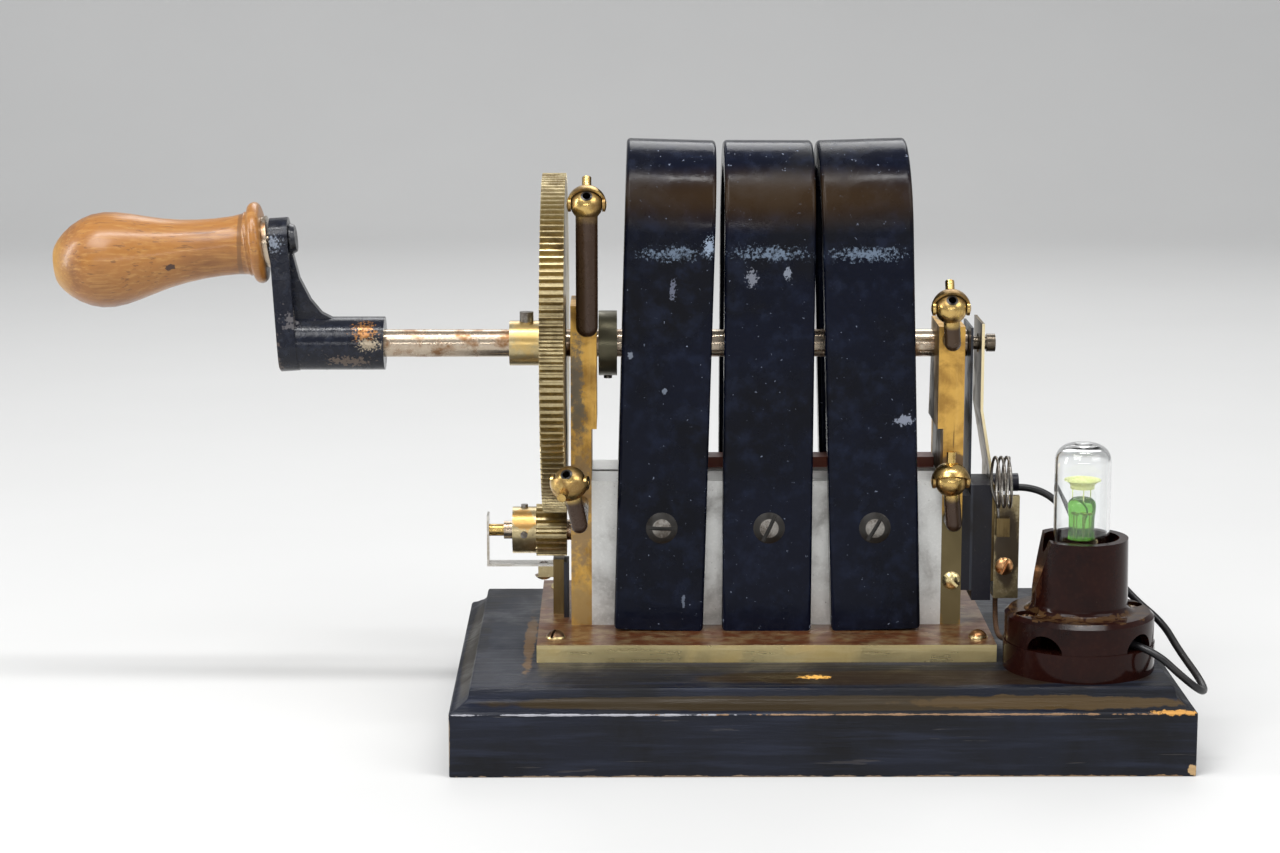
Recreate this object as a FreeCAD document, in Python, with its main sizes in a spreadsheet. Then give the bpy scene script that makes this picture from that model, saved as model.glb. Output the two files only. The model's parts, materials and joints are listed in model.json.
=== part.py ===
import FreeCAD, Part
import math
import os
import Sketcher

# Lengths in millimetres. Origin at the middle of the baseboard's underside,
# X to the right, Y to the rear, Z up.
VALUES = {
    "base_length": 203.0, "base_depth": 130.0, "slab_height": 17.6, "slope_rise": 2.8,
    "slope_inset": 6.9, "base_height": 23.6, "top_inset": 7.9,
    "plate_left": -78.5, "plate_right": 50.7, "plate_front": -32.2, "plate_thickness": 5.0,
    "axis_y": 8.4, "armature_z": 53.1, "gear_module": 0.69, "gear_teeth": 140.0,
    "pinion_teeth": 20.0, "tooth_backlash": 0.42, "tooth_height": 2.1,
    "running_clearance": 0.04, "fixed_clearance": 0.02,
    "plate_screw_left": -73.3, "plate_screw_right": 46.5, "plate_screw_front": -23.0,
    "plate_screw_head": 2.8, "plate_screw_head_height": 2.2, "plate_screw_shank": 1.5,
    "plate_screw_length": 14.0, "slot_width": 0.8,
    "magnet_width": 25.4, "magnet_thickness": 7.7, "magnet_height": 138.2, "magnet_edge": 1.2,
    "magnet_left_x": -44.1, "magnet_middle_x": -13.2, "magnet_right_x": 18.1,
    "magnet_left_lean": 1.575, "magnet_middle_lean": 0.17, "magnet_right_lean": -1.78,
    "magnet_screw_left": -43.2, "magnet_screw_middle": -12.7, "magnet_screw_right": 17.4,
    "magnet_screw_z": 58.7, "magnet_screw_head": 4.5, "magnet_screw_head_height": 1.1,
    "magnet_screw_shank": 2.2, "magnet_screw_bite": 3.0,
    "pole_left": -63.2, "pole_right": 37.2, "pole_top": 70.8, "pole_front": -8.1,
    "pole_gap": 2.8, "pole_bore": 13.8, "strip_left": -47.0, "strip_height": 3.0,
    "strip_front": 13.0, "strip_depth": 8.0,
    "core_radius": 13.5, "core_left": -59.0, "core_right": 33.0, "core_web": 9.0,
    "core_slot": 16.0, "winding_radius": 12.9, "winding_end": 2.0, "armature_shaft": 3.0,
    "armature_shoulder": 4.5, "end_play": 0.1, "armature_tail": 2.6, "armature_tail_left": -89.0,
    "contact_tip": 1.75, "contact_tip_left": -93.3, "armature_right_end": 44.6,
    "pinion_left": -79.5, "pinion_right": -70.6, "collar_left": -86.4, "collar_radius": 6.8,
    "small_screw": 1.0, "small_screw_proud": 0.8,
    "bracket_left_outer": -69.1, "pad_left_inner": -61.7, "bracket_right_outer": 43.0,
    "pad_right_inner": 35.6, "bracket_depth": 33.0, "pad_bottom": 85.9, "pad_depth": 26.7,
    "pad_top_depth": 22.5, "pad_taper_z": 105.0, "bracket_left_top": 121.3,
    "bracket_right_top": 115.3, "bracket_screw_x": 40.2, "bracket_screw_z": 41.6,
    "small_head": 2.65, "small_head_height": 1.4, "small_shank": 1.1,
    "small_length": 3.6,
    "crank_shaft": 4.0, "crank_shaft_right": 45.2, "crank_stub": 2.0, "crank_stub_right": 53.4,
    "crank_rim": 2.6, "crank_rim_left": 50.9,
    "gear_left": -77.2, "gear_right": -70.5, "hub_left": -86.9, "hub_radius": 6.5,
    "gear_screw_x": -82.0, "gear_screw": 2.0, "gear_screw_height": 2.6,
    "thrust_left": -61.2, "thrust_right": -55.9, "thrust_radius": 9.4, "thrust_screw": 1.2,
    "boss_left": -153.2, "boss_right": -122.9, "boss_radius": 7.7, "arm_lean": 3.6,
    "arm_thickness": 5.3, "arm_half_width": 6.5, "arm_left_low": -153.3,
    "crank_radius": 30.0, "web_thickness": 4.2,
    "pin_tilt": 6.5, "pin_radius": 2.4, "pin_head": 4.4, "pin_head_height": 1.6,
    "pin_washer": 7.4, "washer_thickness": 1.4, "bead_radius": 11.7,
    "bead_length": 3.7, "neck_radius": 8.3, "bulb_radius": 13.75, "bulb_middle": 45.2,
    "grip_length": 60.2, "pin_recess": 4.0,
    "oiler_y": -15.0, "oiler_arm": 2.3, "oiler_stem": 2.3, "oiler_long_stem": 3.1,
    "oiler_bite": 4.0, "oiler_ball": 4.5, "shell_gap": 0.3, "shell_thickness": 0.75,
    "shell_span": 130.0, "shell_open": 35.0, "oiler_pivot": 0.8, "oiler_ear": 2.0,
    "shell_handle": 1.3, "shell_handle_height": 3.4, "oil_hole": 1.1,
    "oiler_tl_x": -64.3, "oiler_tl_elbow": 116.5, "oiler_tl_ball": 150.8,
    "oiler_bl_x": -66.3, "oiler_bl_elbow": 64.3, "oiler_bl_ball": 76.4,
    "oiler_bl_y": -38.0, "oiler_bl_facing": -16.0, "shell_bl_span": 80.0, "shell_bl_start": -60.0,
    "shell_start": 25.0, "oil_hole_rise": 40.0,
    "oiler_tr_x": 38.7, "oiler_tr_elbow": 111.6, "oiler_tr_ball": 121.5,
    "oiler_br_x": 39.9, "oiler_br_elbow": 59.7, "oiler_br_ball": 72.0,
    "strip_spring_thickness": 0.6, "strip_spring_top": 57.9,
    "strip_spring_foot": 42.8, "strip_spring_width": 6.0, "post_left": -74.6, "post_right": -71.4,
    "post_top": 44.9, "post_front": 5.4, "clip_height": 3.2, "clip_left": -79.0,
    "clip_screw_x": -77.4, "insulator_thickness": 1.4, "insulator_top": 57.0,
    "spacer_right": 46.1, "leaf_thickness": 0.7, "block_right": 51.6, "block_top": 69.5,
    "block_bottom": 35.7, "block_front": -8.0, "block_rear": 9.0, "leaf_front": -1.5,
    "leaf_rear": 18.0, "inner_leaf_top": 114.0, "outer_leaf_top": 115.1, "outer_leaf_thickness": 0.8,
    "outer_leaf_bottom": 41.1, "outer_leaf_upper_x": 48.5, "leaf_bend_z": 72.0, "leaf_upper_z": 90.0,
    "leaf_hole": 2.9,
    "terminal_right": 59.5, "terminal_top": 66.3, "terminal_bottom": 36.3, "terminal_plate": 2.0,
    "terminal_screw_x": 55.4, "terminal_screw_z": 45.7,
    "clamp_left": 52.6, "clamp_right": 56.4, "clamp_bottom": 55.0, "clamp_top": 60.4,
    "stud_z": 68.6, "stud_radius": 2.6, "stud_right": 60.0, "stud_y": 1.0,
    "coil_radius": 7.1, "coil_wire": 0.4, "coil_pitch": 1.6, "coil_turns": 3.0, "coil_left": 51.0,
    "coil_y": -16.3, "coil_z": 72.0, "coil_start_x": 53.3, "coil_start_y": -9.4, "coil_end_x": 57.4,
    "holder_x": 73.0, "holder_y": -36.0, "holder_radius": 21.0, "holder_base_height": 7.8,
    "holder_cap_radius": 20.7, "holder_cap_top": 39.9, "neck_outer": 13.3,
    "holder_neck_top": 60.5, "cap_thickness": 3.4, "lug_reach": 14.0, "lug_half_width": 3.0,
    "socket_floor": 1.6, "neck_inner": 10.5, "mouth_cut_x": 59.6, "mouth_cut_z": 44.0,
    "mouth_cut_top_x": 63.6, "entry_width": 10.6, "entry_height": 4.7, "entry_left_angle": -126.0,
    "entry_right_angle": -44.0, "holder_screw_radius": 16.2, "holder_screw_angle": 20.0,
    "holder_screw": 1.6, "holder_screw_head": 2.9, "sleeve_inner": 7.9, "sleeve_outer": 9.0,
    "sleeve_top": 50.0, "lamp_cap_radius": 7.75, "lamp_cap_bottom": 42.0, "lamp_cap_top": 57.0,
    "lamp_radius": 7.85, "lamp_top": 86.9, "lamp_wall": 0.7, "inner_bulb_radius": 3.85,
    "inner_bulb_top": 71.5, "lamp_ring_radius": 4.6, "lamp_ring_z": 76.4, "lamp_wire": 0.5,
    "contact_stud": 2.5, "black_cable": 1.05, "brown_wire": 0.75,
}

# Straight run of the black cable off the stud, then its bends from the holder's centre and the board's top.
CABLE_EXIT = 9.0
CABLE_BENDS = ((5.5, 30.0, 29.5), (18.0, 22.0, 14.7), (26.2, 15.0, 8.6), (29.0, 4.5, 3.2),
               (33.6, -5.5, -3.0), (33.0, -15.5, -4.2), (26.5, -19.5, 1.0), (17.6, -15.6, 8.9), (8.9, -8.9, 9.9))
# Bends of the brown wire: x from the terminal's flange, y from the middle plane and z from the board's top.
WIRE_BENDS = ((0.0, -5.0, 6.2), (0.2, -9.5, 2.6), (0.5, -18.0, 3.2), (2.2, -28.2, 5.0))

DOC = FreeCAD.newDocument("generator")
SHEET = DOC.addObject("Spreadsheet::Sheet", "Sizes")
NODES = []


class Dim:
    """A number together with the sheet expression that gives it."""

    def __init__(self, value, text):
        self.value = value
        self.text = text

    def _join(self, other, sign, value):
        return Dim(value, "(%s %s %s)" % (self.text, sign, other.text))

    def __add__(self, other):
        other = dim(other)
        return self._join(other, "+", self.value + other.value)

    def __sub__(self, other):
        other = dim(other)
        return self._join(other, "-", self.value - other.value)

    def __mul__(self, other):
        other = dim(other)
        return self._join(other, "*", self.value * other.value)

    def __truediv__(self, other):
        other = dim(other)
        return self._join(other, "/", self.value / other.value)

    def __radd__(self, other):
        return dim(other) + self

    def __rsub__(self, other):
        return dim(other) - self

    def __rmul__(self, other):
        return dim(other) * self

    def __neg__(self):
        return Dim(-self.value, "(0 - %s)" % self.text)


def dim(value):
    """Return value as a Dim."""
    if isinstance(value, Dim):
        return value
    return Dim(float(value), "(%.6f)" % value)


class Sizes:
    """The named sizes, read from the sheet."""

    def __init__(self, sheet):
        for row, name in enumerate(VALUES, start=1):
            cell = "A%d" % row
            sheet.set(cell, str(VALUES[name]))
            sheet.setAlias(cell, name)
            setattr(self, name, Dim(VALUES[name], "Sizes.%s" % name))


S = Sizes(SHEET)
DOC.recompute()


def bind(item, prop, value):
    """Set a property and tie it to the sheet when it comes from there."""
    value = dim(value)
    item.setExpression(prop, value.text)


def place(item, x, y, z):
    """Tie the three position values of an object to the sheet."""
    for letter, value in zip("xyz", (x, y, z)):
        bind(item, "Placement.Base.%s" % letter, value)


def turn(item, axis, angle=0.0):
    """Point an object that was made along Z along the given direction."""
    first = FreeCAD.Rotation(FreeCAD.Vector(0, 0, 1), angle)
    second = FreeCAD.Rotation(FreeCAD.Vector(0, 0, 1), FreeCAD.Vector(*axis))
    item.Placement.Rotation = second.multiply(first)


def box(label, x, y, z):
    """Return a box between two limits on each axis."""
    item = DOC.addObject("Part::Box", label)
    for prop, pair in zip(("Length", "Width", "Height"), (x, y, z)):
        bind(item, prop, dim(pair[1]) - pair[0])
    place(item, x[0], y[0], z[0])
    return item


def rod(label, axis, start, radius, length):
    """Return a cylinder that starts at a point and runs along a direction."""
    item = DOC.addObject("Part::Cylinder", label)
    bind(item, "Radius", radius)
    bind(item, "Height", length)
    turn(item, axis)
    place(item, *start)
    return item


def ball(label, centre, radius):
    """Return a sphere."""
    item = DOC.addObject("Part::Sphere", label)
    bind(item, "Radius", radius)
    place(item, *centre)
    return item


def cut(label, base, *tools):
    """Return the base less its tools."""
    tool = tools[0] if len(tools) == 1 else join(label + "_tools", *tools)
    item = DOC.addObject("Part::Cut", label)
    item.Base = base
    item.Tool = tool
    return item


def join(label, *shapes):
    """Return the union of several objects."""
    item = DOC.addObject("Part::MultiFuse", label)
    item.Shapes = list(shapes)
    item.Refine = True
    return item


def common(label, *shapes):
    """Return what several objects share."""
    item = DOC.addObject("Part::MultiCommon", label)
    item.Shapes = list(shapes)
    return item


def group(label, *shapes):
    """Return several solids as one object."""
    item = DOC.addObject("Part::Compound", label)
    item.Links = list(shapes)
    return item


def node(item):
    """Keep an object as one of the parts to be written."""
    NODES.append(item)
    return item


def plane(body, role):
    """Return one of a body's own planes or axes."""
    for feature in body.Origin.OriginFeatures:
        if feature.Role == role:
            return feature
    raise ValueError(role)


def outline(body, role, label, corners, arcs=None):
    """Draw a closed outline with every corner tied to the sheet.

    arcs gives, for the number of a side, the arc's centre and its turn: 1 against the
    clock and -1 with it.
    """
    sketch = body.newObject("Sketcher::SketchObject", label)
    sketch.AttachmentSupport = [(plane(body, role), "")]
    sketch.MapMode = "FlatFace"
    arcs = arcs or {}
    corners = [(dim(a), dim(b)) for a, b in corners]
    points = [FreeCAD.Vector(a.value, b.value, 0) for a, b in corners]
    ends = []
    for side, start in enumerate(points):
        end = points[(side + 1) % len(points)]
        if side not in arcs:
            number = sketch.addGeometry(Part.LineSegment(start, end))
            ends.append((number, 1, 2))
            continue
        centre = FreeCAD.Vector(dim(arcs[side][0]).value, dim(arcs[side][1]).value, 0)
        first, last = (start, end) if arcs[side][2] > 0 else (end, start)
        angles = [math.atan2(p.y - centre.y, p.x - centre.x) for p in (first, last)]
        circle = Part.Circle(centre, FreeCAD.Vector(0, 0, 1), (first - centre).Length)
        number = sketch.addGeometry(Part.ArcOfCircle(circle, angles[0], angles[1]))
        ends.append((number, 1, 2) if arcs[side][2] > 0 else (number, 2, 1))
    for side, (number, first, last) in enumerate(ends):
        following = ends[(side + 1) % len(ends)]
        sketch.addConstraint(
            Sketcher.Constraint("Coincident", number, last, following[0], following[1]))
        for kind, value in zip(("DistanceX", "DistanceY"), corners[side]):
            tie(sketch, kind, number, first, value)
        if side in arcs:
            end = points[(side + 1) % len(points)]
            wide = abs(end.x - points[side].x) >= abs(end.y - points[side].y)
            tie(sketch, "DistanceY" if wide else "DistanceX", number, 3, arcs[side][1 if wide else 0])
    return sketch


def tie(sketch, kind, number, point, value):
    """Fix one coordinate of a point in a sketch to a sheet value."""
    value = dim(value)
    made = sketch.addConstraint(
        Sketcher.Constraint(kind, -1, 1, number, point, value.value))
    sketch.setExpression("Constraints[%d]" % made, value.text)


def prism(label, role, corners, length, at=(0, 0, 0), arcs=None, middle=True):
    """Return a body padded from an outline."""
    body = DOC.addObject("PartDesign::Body", label)
    sketch = outline(body, role, label + "_outline", corners, arcs)
    pad = body.newObject("PartDesign::Pad", label + "_pad")
    pad.Profile = sketch
    bind(pad, "Length", length)
    pad.Midplane = middle
    place(body, *at)
    return body


def turned(label, corners, at, axis=(1, 0, 0), arcs=None):
    """Return a body turned about its own X from an outline of lengths and radii."""
    body = DOC.addObject("PartDesign::Body", label)
    sketch = outline(body, "XY_Plane", label + "_profile", corners, arcs)
    lathe = body.newObject("PartDesign::Revolution", label + "_turning")
    lathe.Profile = sketch
    lathe.ReferenceAxis = (sketch, ["H_Axis"])
    lathe.Angle = 360
    body.Placement.Rotation = FreeCAD.Rotation(FreeCAD.Vector(1, 0, 0), FreeCAD.Vector(*axis))
    place(body, *at)
    return body


def screw(label, head, head_height, shank, length, slot):
    """Return a slotted screw at the origin, its head above the XY plane."""
    crown = (head * head + head_height * head_height) / (2.0 * head_height)
    dome = common(label + "_head", rod(label + "_disc", (0, 0, 1), (0, 0, 0), head, head_height),
                  ball(label + "_crown", (0, 0, head_height - crown * 1.02), crown * 1.02))
    stem = rod(label + "_shank", (0, 0, 1), (0, 0, -length), shank, length + head_height * 0.4)
    groove = box(label + "_slot", (-head - 1, head + 1), (slot * -0.5, slot * 0.5),
                 (head_height * 0.15, head_height + 1))
    return cut(label, join(label + "_blank", dome, stem), groove)


def copy_of(master, label, at, axis, angle=0.0):
    """Return a copy of an object at another place."""
    link = DOC.addObject("App::Link", label)
    link.LinkedObject = master
    turn(link, axis, angle)
    place(link, *at)
    return link


def tube(label, points, radius):
    """Return a round tube along straight runs joined by tangent arcs."""
    points = [FreeCAD.Vector(*p) for p in points]
    edges = []
    start = points[0]
    for before, corner, after in zip(points, points[1:], points[2:]):
        way_in = (corner - before).normalize()
        way_out = (after - corner).normalize()
        half = way_in.getAngle(way_out) / 2.0
        run = 0.45 * min((corner - before).Length, (after - corner).Length)
        bend = run / math.tan(half)
        print("%s bend %.2f mm, %.1f diameters, turn %.0f" %
              (label, bend, bend / (2 * radius), math.degrees(2 * half)))
        first = corner - way_in * run
        last = corner + way_out * run
        inward = (way_out - way_in).normalize()
        middle = corner + inward * (bend / math.cos(half) - bend)
        edges.append(Part.LineSegment(start, first).toShape())
        edges.append(Part.Arc(first, middle, last).toShape())
        start = last
    edges.append(Part.LineSegment(start, points[-1]).toShape())
    path = Part.Wire(edges)
    face = Part.Wire([Part.Circle(points[0], points[1] - points[0], radius).toShape()])
    made = path.makePipeShell([face], True, False)
    print("%s volume ratio %.4f" % (label, made.Volume / (math.pi * radius ** 2 * path.Length)))
    item = DOC.addObject("Part::Feature", label)
    item.Shape = made
    return item


def sheet(name):
    """Return a size as the sheet holds it."""
    return float(getattr(SHEET, name))


def make_base():
    """Make the wooden baseboard, the brass plate and the plate's screws."""
    half_x = S.base_length / 2
    half_y = S.base_depth / 2
    slab = box("slab", (-half_x, half_x), (-half_y, half_y), (0, S.slab_height))
    slope = DOC.addObject("Part::Wedge", "slope")
    for prop, value in (("Xmin", -half_x), ("Xmax", half_x), ("Zmin", -half_y), ("Zmax", half_y),
                        ("X2min", S.slope_inset - half_x), ("X2max", half_x - S.slope_inset),
                        ("Z2min", S.slope_inset - half_y), ("Z2max", half_y - S.slope_inset),
                        ("Ymin", 0), ("Ymax", S.slope_rise)):
        bind(slope, prop, value)
    slope.Placement.Rotation = FreeCAD.Rotation(FreeCAD.Vector(1, 0, 0), 90)
    place(slope, 0, 0, S.slab_height)
    top = box("top_step", (S.top_inset - half_x, half_x - S.top_inset),
              (S.top_inset - half_y, half_y - S.top_inset), (S.slab_height, S.base_height))
    plate_top = S.base_height + S.plate_thickness
    rear = 2 * S.axis_y - S.plate_front
    places = [(x, y) for x in (S.plate_screw_left, S.plate_screw_right)
              for y in (S.plate_screw_front, 2 * S.axis_y - S.plate_screw_front)]
    pilots = []
    holes = []
    for number, (x, y) in enumerate(places, start=1):
        pilots.append(rod("pilot_%d" % number, (0, 0, 1), (x, y, plate_top - S.plate_screw_length - 0.5),
                          S.plate_screw_shank + S.fixed_clearance, S.plate_screw_length + 1))
        holes.append(rod("plate_hole_%d" % number, (0, 0, 1), (x, y, S.base_height - 1),
                         S.plate_screw_shank + 0.15, S.plate_thickness + 2))
    for number, (x, y) in enumerate(holder_screw_places(), start=1):
        pilots.append(rod("holder_pilot_%d" % number, (0, 0, 1), (x, y, S.base_height - 9),
                          S.holder_screw + S.fixed_clearance, 12))
    node(cut("baseboard", join("board_blank", slab, slope, top), *pilots))
    plate = box("plate_blank", (S.plate_left, S.plate_right), (S.plate_front, rear),
                (S.base_height, plate_top))
    node(cut("base_plate", plate, *holes))
    master = screw("plate_screw", S.plate_screw_head, S.plate_screw_head_height,
                   S.plate_screw_shank, S.plate_screw_length, S.slot_width)
    node(group("plate_screws", *[
        copy_of(master, "plate_screw_%d" % number, (x, y, plate_top), (0, 0, 1), 25 + 40 * number)
        for number, (x, y) in enumerate(places, start=1)]))


def holder_screw_places():
    """Return the middles of the lamp holder's two screws."""
    angle = math.radians(VALUES["holder_screw_angle"])
    reach = S.holder_screw_radius
    return [(S.holder_x + reach * (side * math.cos(angle)), S.holder_y + reach * (side * math.sin(angle)))
            for side in (1, -1)]


def make_magnets():
    """Make the three horseshoe magnets and the six screws through their legs."""
    plate_top = S.base_height + S.plate_thickness
    inner = S.axis_y - S.pole_front
    outer = inner + S.magnet_thickness
    spring = S.magnet_height - outer
    master = screw("magnet_screw", S.magnet_screw_head, S.magnet_screw_head_height,
                   S.magnet_screw_shank, S.magnet_thickness + S.magnet_screw_bite, S.slot_width + 0.3)
    copies = []
    slots = {"left": 92, "middle": 25, "right": 30}
    for side in ("left", "middle", "right"):
        foot = getattr(S, "magnet_%s_x" % side)
        lean = getattr(S, "magnet_%s_lean" % side)
        hand = 0.5 if lean.value > 0 else -0.5
        corners = [(-outer, 0), (-inner, 0), (-inner, spring), (inner, spring),
                   (inner, 0), (outer, 0), (outer, spring), (-outer, spring)]
        body = prism("magnet_%s_bar" % side, "YZ_Plane", corners, S.magnet_width,
                     (foot + S.magnet_width * hand, S.axis_y, plate_top),
                     {2: (0, spring, -1), 6: (0, spring, 1)})
        pad = body.Tip
        sketch = pad.Profile[0]
        bind(sketch, "AttachmentOffset.Base.z", S.magnet_width * -hand)
        DOC.recompute()
        flat = ["Face%d" % (n + 1) for n, face in enumerate(pad.Shape.Faces)
                if abs(face.normalAt(0, 0).x) > 0.9]
        edge = body.newObject("PartDesign::Fillet", "magnet_%s_edge" % side)
        edge.Base = (pad, flat)
        bind(edge, "Radius", S.magnet_edge)
        body.Tip = edge
        body.Placement.Rotation = FreeCAD.Rotation(FreeCAD.Vector(0, 1, 0), lean.value)
        bind(body, "Placement.Rotation.Angle", lean)
        x = getattr(S, "magnet_screw_%s" % side)
        hole = rod("magnet_%s_hole" % side, (0, 1, 0), (x, S.axis_y - outer - 1, S.magnet_screw_z),
                   S.magnet_screw_shank + 0.1, 2 * outer + 2)
        node(cut("magnet_%s" % side, body, hole))
        copies.append(copy_of(master, "front_screw_%s" % side, (x, S.axis_y - outer, S.magnet_screw_z),
                              (0, -1, 0), 90 - slots[side]))
        copies.append(copy_of(master, "rear_screw_%s" % side, (x, S.axis_y + outer, S.magnet_screw_z),
                              (0, 1, 0), slots[side]))
    node(group("magnet_screws", *copies))


def make_poles():
    """Make the two pole pieces with the bore between them, and the fibre strip."""
    plate_top = S.base_height + S.plate_thickness
    inner = S.axis_y - S.pole_front
    for side, hand in (("front", -1), ("rear", 1)):
        near = S.axis_y + S.pole_gap * (0.5 * hand)
        far = S.axis_y + inner * hand
        limits = (far, near) if hand < 0 else (near, far)
        blank = box("pole_%s_blank" % side, (S.pole_left, S.pole_right), limits, (plate_top, S.pole_top))
        bore = rod("pole_%s_bore" % side, (1, 0, 0), (S.pole_left - 1, S.axis_y, S.armature_z),
                   S.pole_bore, S.pole_right - S.pole_left + 2)
        taps = [rod("pole_%s_tap_%s" % (side, name), (0, -hand, 0),
                    (getattr(S, "magnet_screw_%s" % name), far + hand, S.magnet_screw_z),
                    S.magnet_screw_shank + S.fixed_clearance, S.magnet_screw_bite + 1.4)
                for name in ("left", "middle", "right")]
        node(cut("pole_%s" % side, blank, bore, *taps))
    node(box("fibre_strip", (S.strip_left, S.pole_right - 0.4),
             (S.strip_front, S.strip_front + S.strip_depth),
             (S.pole_top, S.pole_top + S.strip_height)))


def make_armature():
    """Make the shuttle armature with its winding, shaft, pinion, collar and contact tip."""
    y = S.axis_y
    z = S.armature_z
    half_web = S.core_web / 2
    half_slot = S.core_slot / 2
    core_length = S.core_right - S.core_left
    shaft_bore = rod("core_bore", (1, 0, 0), (S.core_left - 5, y, z), S.armature_shaft + S.fixed_clearance,
                     core_length + 10)
    core_disc = rod("core_disc", (1, 0, 0), (S.core_left, y, z), S.core_radius, core_length)
    reach = S.core_radius + 1
    slots = [box("core_slot_front", (S.core_left - 1, S.core_right + 1), (y - reach, y - half_web),
                 (z - half_slot, z + half_slot)),
             box("core_slot_rear", (S.core_left - 1, S.core_right + 1), (y + half_web, y + reach),
                 (z - half_slot, z + half_slot))]
    node(cut("armature_core", core_disc, shaft_bore, *slots))
    left = S.core_left - S.winding_end
    right = S.core_right + S.winding_end
    coil_disc = rod("winding_disc", (1, 0, 0), (left, y, z), S.winding_radius, right - left)
    coil_box = box("winding_box", (left - 1, right + 1), (y - reach, y + reach),
                   (z - half_slot, z + half_slot))
    web = box("winding_web", (S.core_left, S.core_right), (y - half_web, y + half_web),
              (z - half_slot - 1, z + half_slot + 1))
    shaft_way = rod("winding_bore", (1, 0, 0), (left - 1, y, z), S.armature_shaft + 0.4, right - left + 2)
    node(cut("armature_winding", common("winding_blank", coil_disc, coil_box), web, shaft_way))
    shoulder_left = S.pole_left + S.end_play
    shoulder_right = S.pole_right - S.end_play
    corners = [(S.armature_tail_left, 0), (S.armature_tail_left, S.armature_tail),
               (S.collar_left - 0.2, S.armature_tail), (S.collar_left - 0.2, S.armature_shaft),
               (shoulder_left, S.armature_shaft), (shoulder_left, S.armature_shoulder),
               (left, S.armature_shoulder),
               (left, S.armature_shaft), (right, S.armature_shaft), (right, S.armature_shoulder),
               (shoulder_right, S.armature_shoulder), (shoulder_right, S.armature_shaft),
               (S.armature_right_end, S.armature_shaft), (S.armature_right_end, 0)]
    node(turned("armature_shaft", corners, (0, y, z)))
    node(rod("contact_tip", (1, 0, 0), (S.contact_tip_left, y, z), S.contact_tip,
             S.armature_tail_left - S.contact_tip_left))
    collar = rod("collar_disc", (1, 0, 0), (S.collar_left, y, z), S.collar_radius,
                 S.pinion_left - S.collar_left)
    collar_bore = rod("collar_bore", (1, 0, 0), (S.collar_left - 1, y, z),
                      S.armature_shaft + S.fixed_clearance,
                      S.pinion_left - S.collar_left + 2)
    middle = (S.collar_left + S.pinion_left) / 2
    seats = [rod("collar_seat_%d" % n, axis, (middle, y, z), S.small_screw + S.fixed_clearance,
                 S.collar_radius + 1) for n, axis in ((1, (0, 0, 1)), (2, (0, -1, 0)))]
    node(cut("armature_collar", collar, collar_bore, *seats))
    reach_out = S.collar_radius + S.small_screw_proud - S.armature_shaft
    node(group("collar_screws",
               rod("collar_screw_1", (0, 0, 1), (middle, y, z + S.armature_shaft), S.small_screw, reach_out),
               rod("collar_screw_2", (0, -1, 0), (middle, y - S.armature_shaft, z), S.small_screw,
                   reach_out)))
    node(toothed("pinion", S.pinion_teeth, S.pinion_left, S.pinion_right, z, S.armature_shaft, 0.5, 1))


def toothed(label, teeth, left, right, z, bore, phase, fullness, hub=None):
    """Return a spur wheel about the X axis, one gap patterned round the rim.

    phase turns the first gap by that share of a tooth, so that the wheels mesh.
    """
    pitch = S.gear_module * teeth / 2
    crown = pitch + S.gear_module
    root = crown - S.tooth_height * S.gear_module / 1.0 * 1.06
    body = DOC.addObject("PartDesign::Body", label + "_wheel")
    rim = outline(body, "XY_Plane", label + "_section",
                  [(left, bore + S.fixed_clearance), (left, crown), (right, crown),
                   (right, bore + S.fixed_clearance)] if hub is None else
                  [(hub[0], bore + S.fixed_clearance), (hub[0], hub[1]), (left, hub[1]), (left, crown),
                   (right, crown), (right, bore + S.fixed_clearance)])
    lathe = body.newObject("PartDesign::Revolution", label + "_turning")
    lathe.Profile = rim
    lathe.ReferenceAxis = (rim, ["H_Axis"])
    lathe.Angle = 360
    gap = S.gear_module * (math.pi / 4) + S.tooth_backlash / 4
    flare = math.tan(math.radians(20.0)) * fullness
    wide = gap + (crown - pitch + 0.4) * flare
    narrow = gap - (pitch - root) * flare
    notch = outline(body, "YZ_Plane", label + "_gap",
                    [(-wide, crown + 0.4), (-narrow, root), (narrow, root), (wide, crown + 0.4)])
    pocket = body.newObject("PartDesign::Pocket", label + "_pocket")
    pocket.Profile = notch
    pocket.Type = 1
    pocket.Midplane = True
    ring = body.newObject("PartDesign::PolarPattern", label + "_teeth")
    ring.Originals = [pocket]
    ring.Axis = (plane(body, "X_Axis"), [""])
    ring.Angle = 360
    bind(ring, "Occurrences", teeth)
    body.Tip = ring
    body.Placement.Rotation = FreeCAD.Rotation(FreeCAD.Vector(1, 0, 0), phase * 360.0 / teeth.value)
    place(body, 0, S.axis_y, z)
    body.Label = label
    return body


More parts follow.
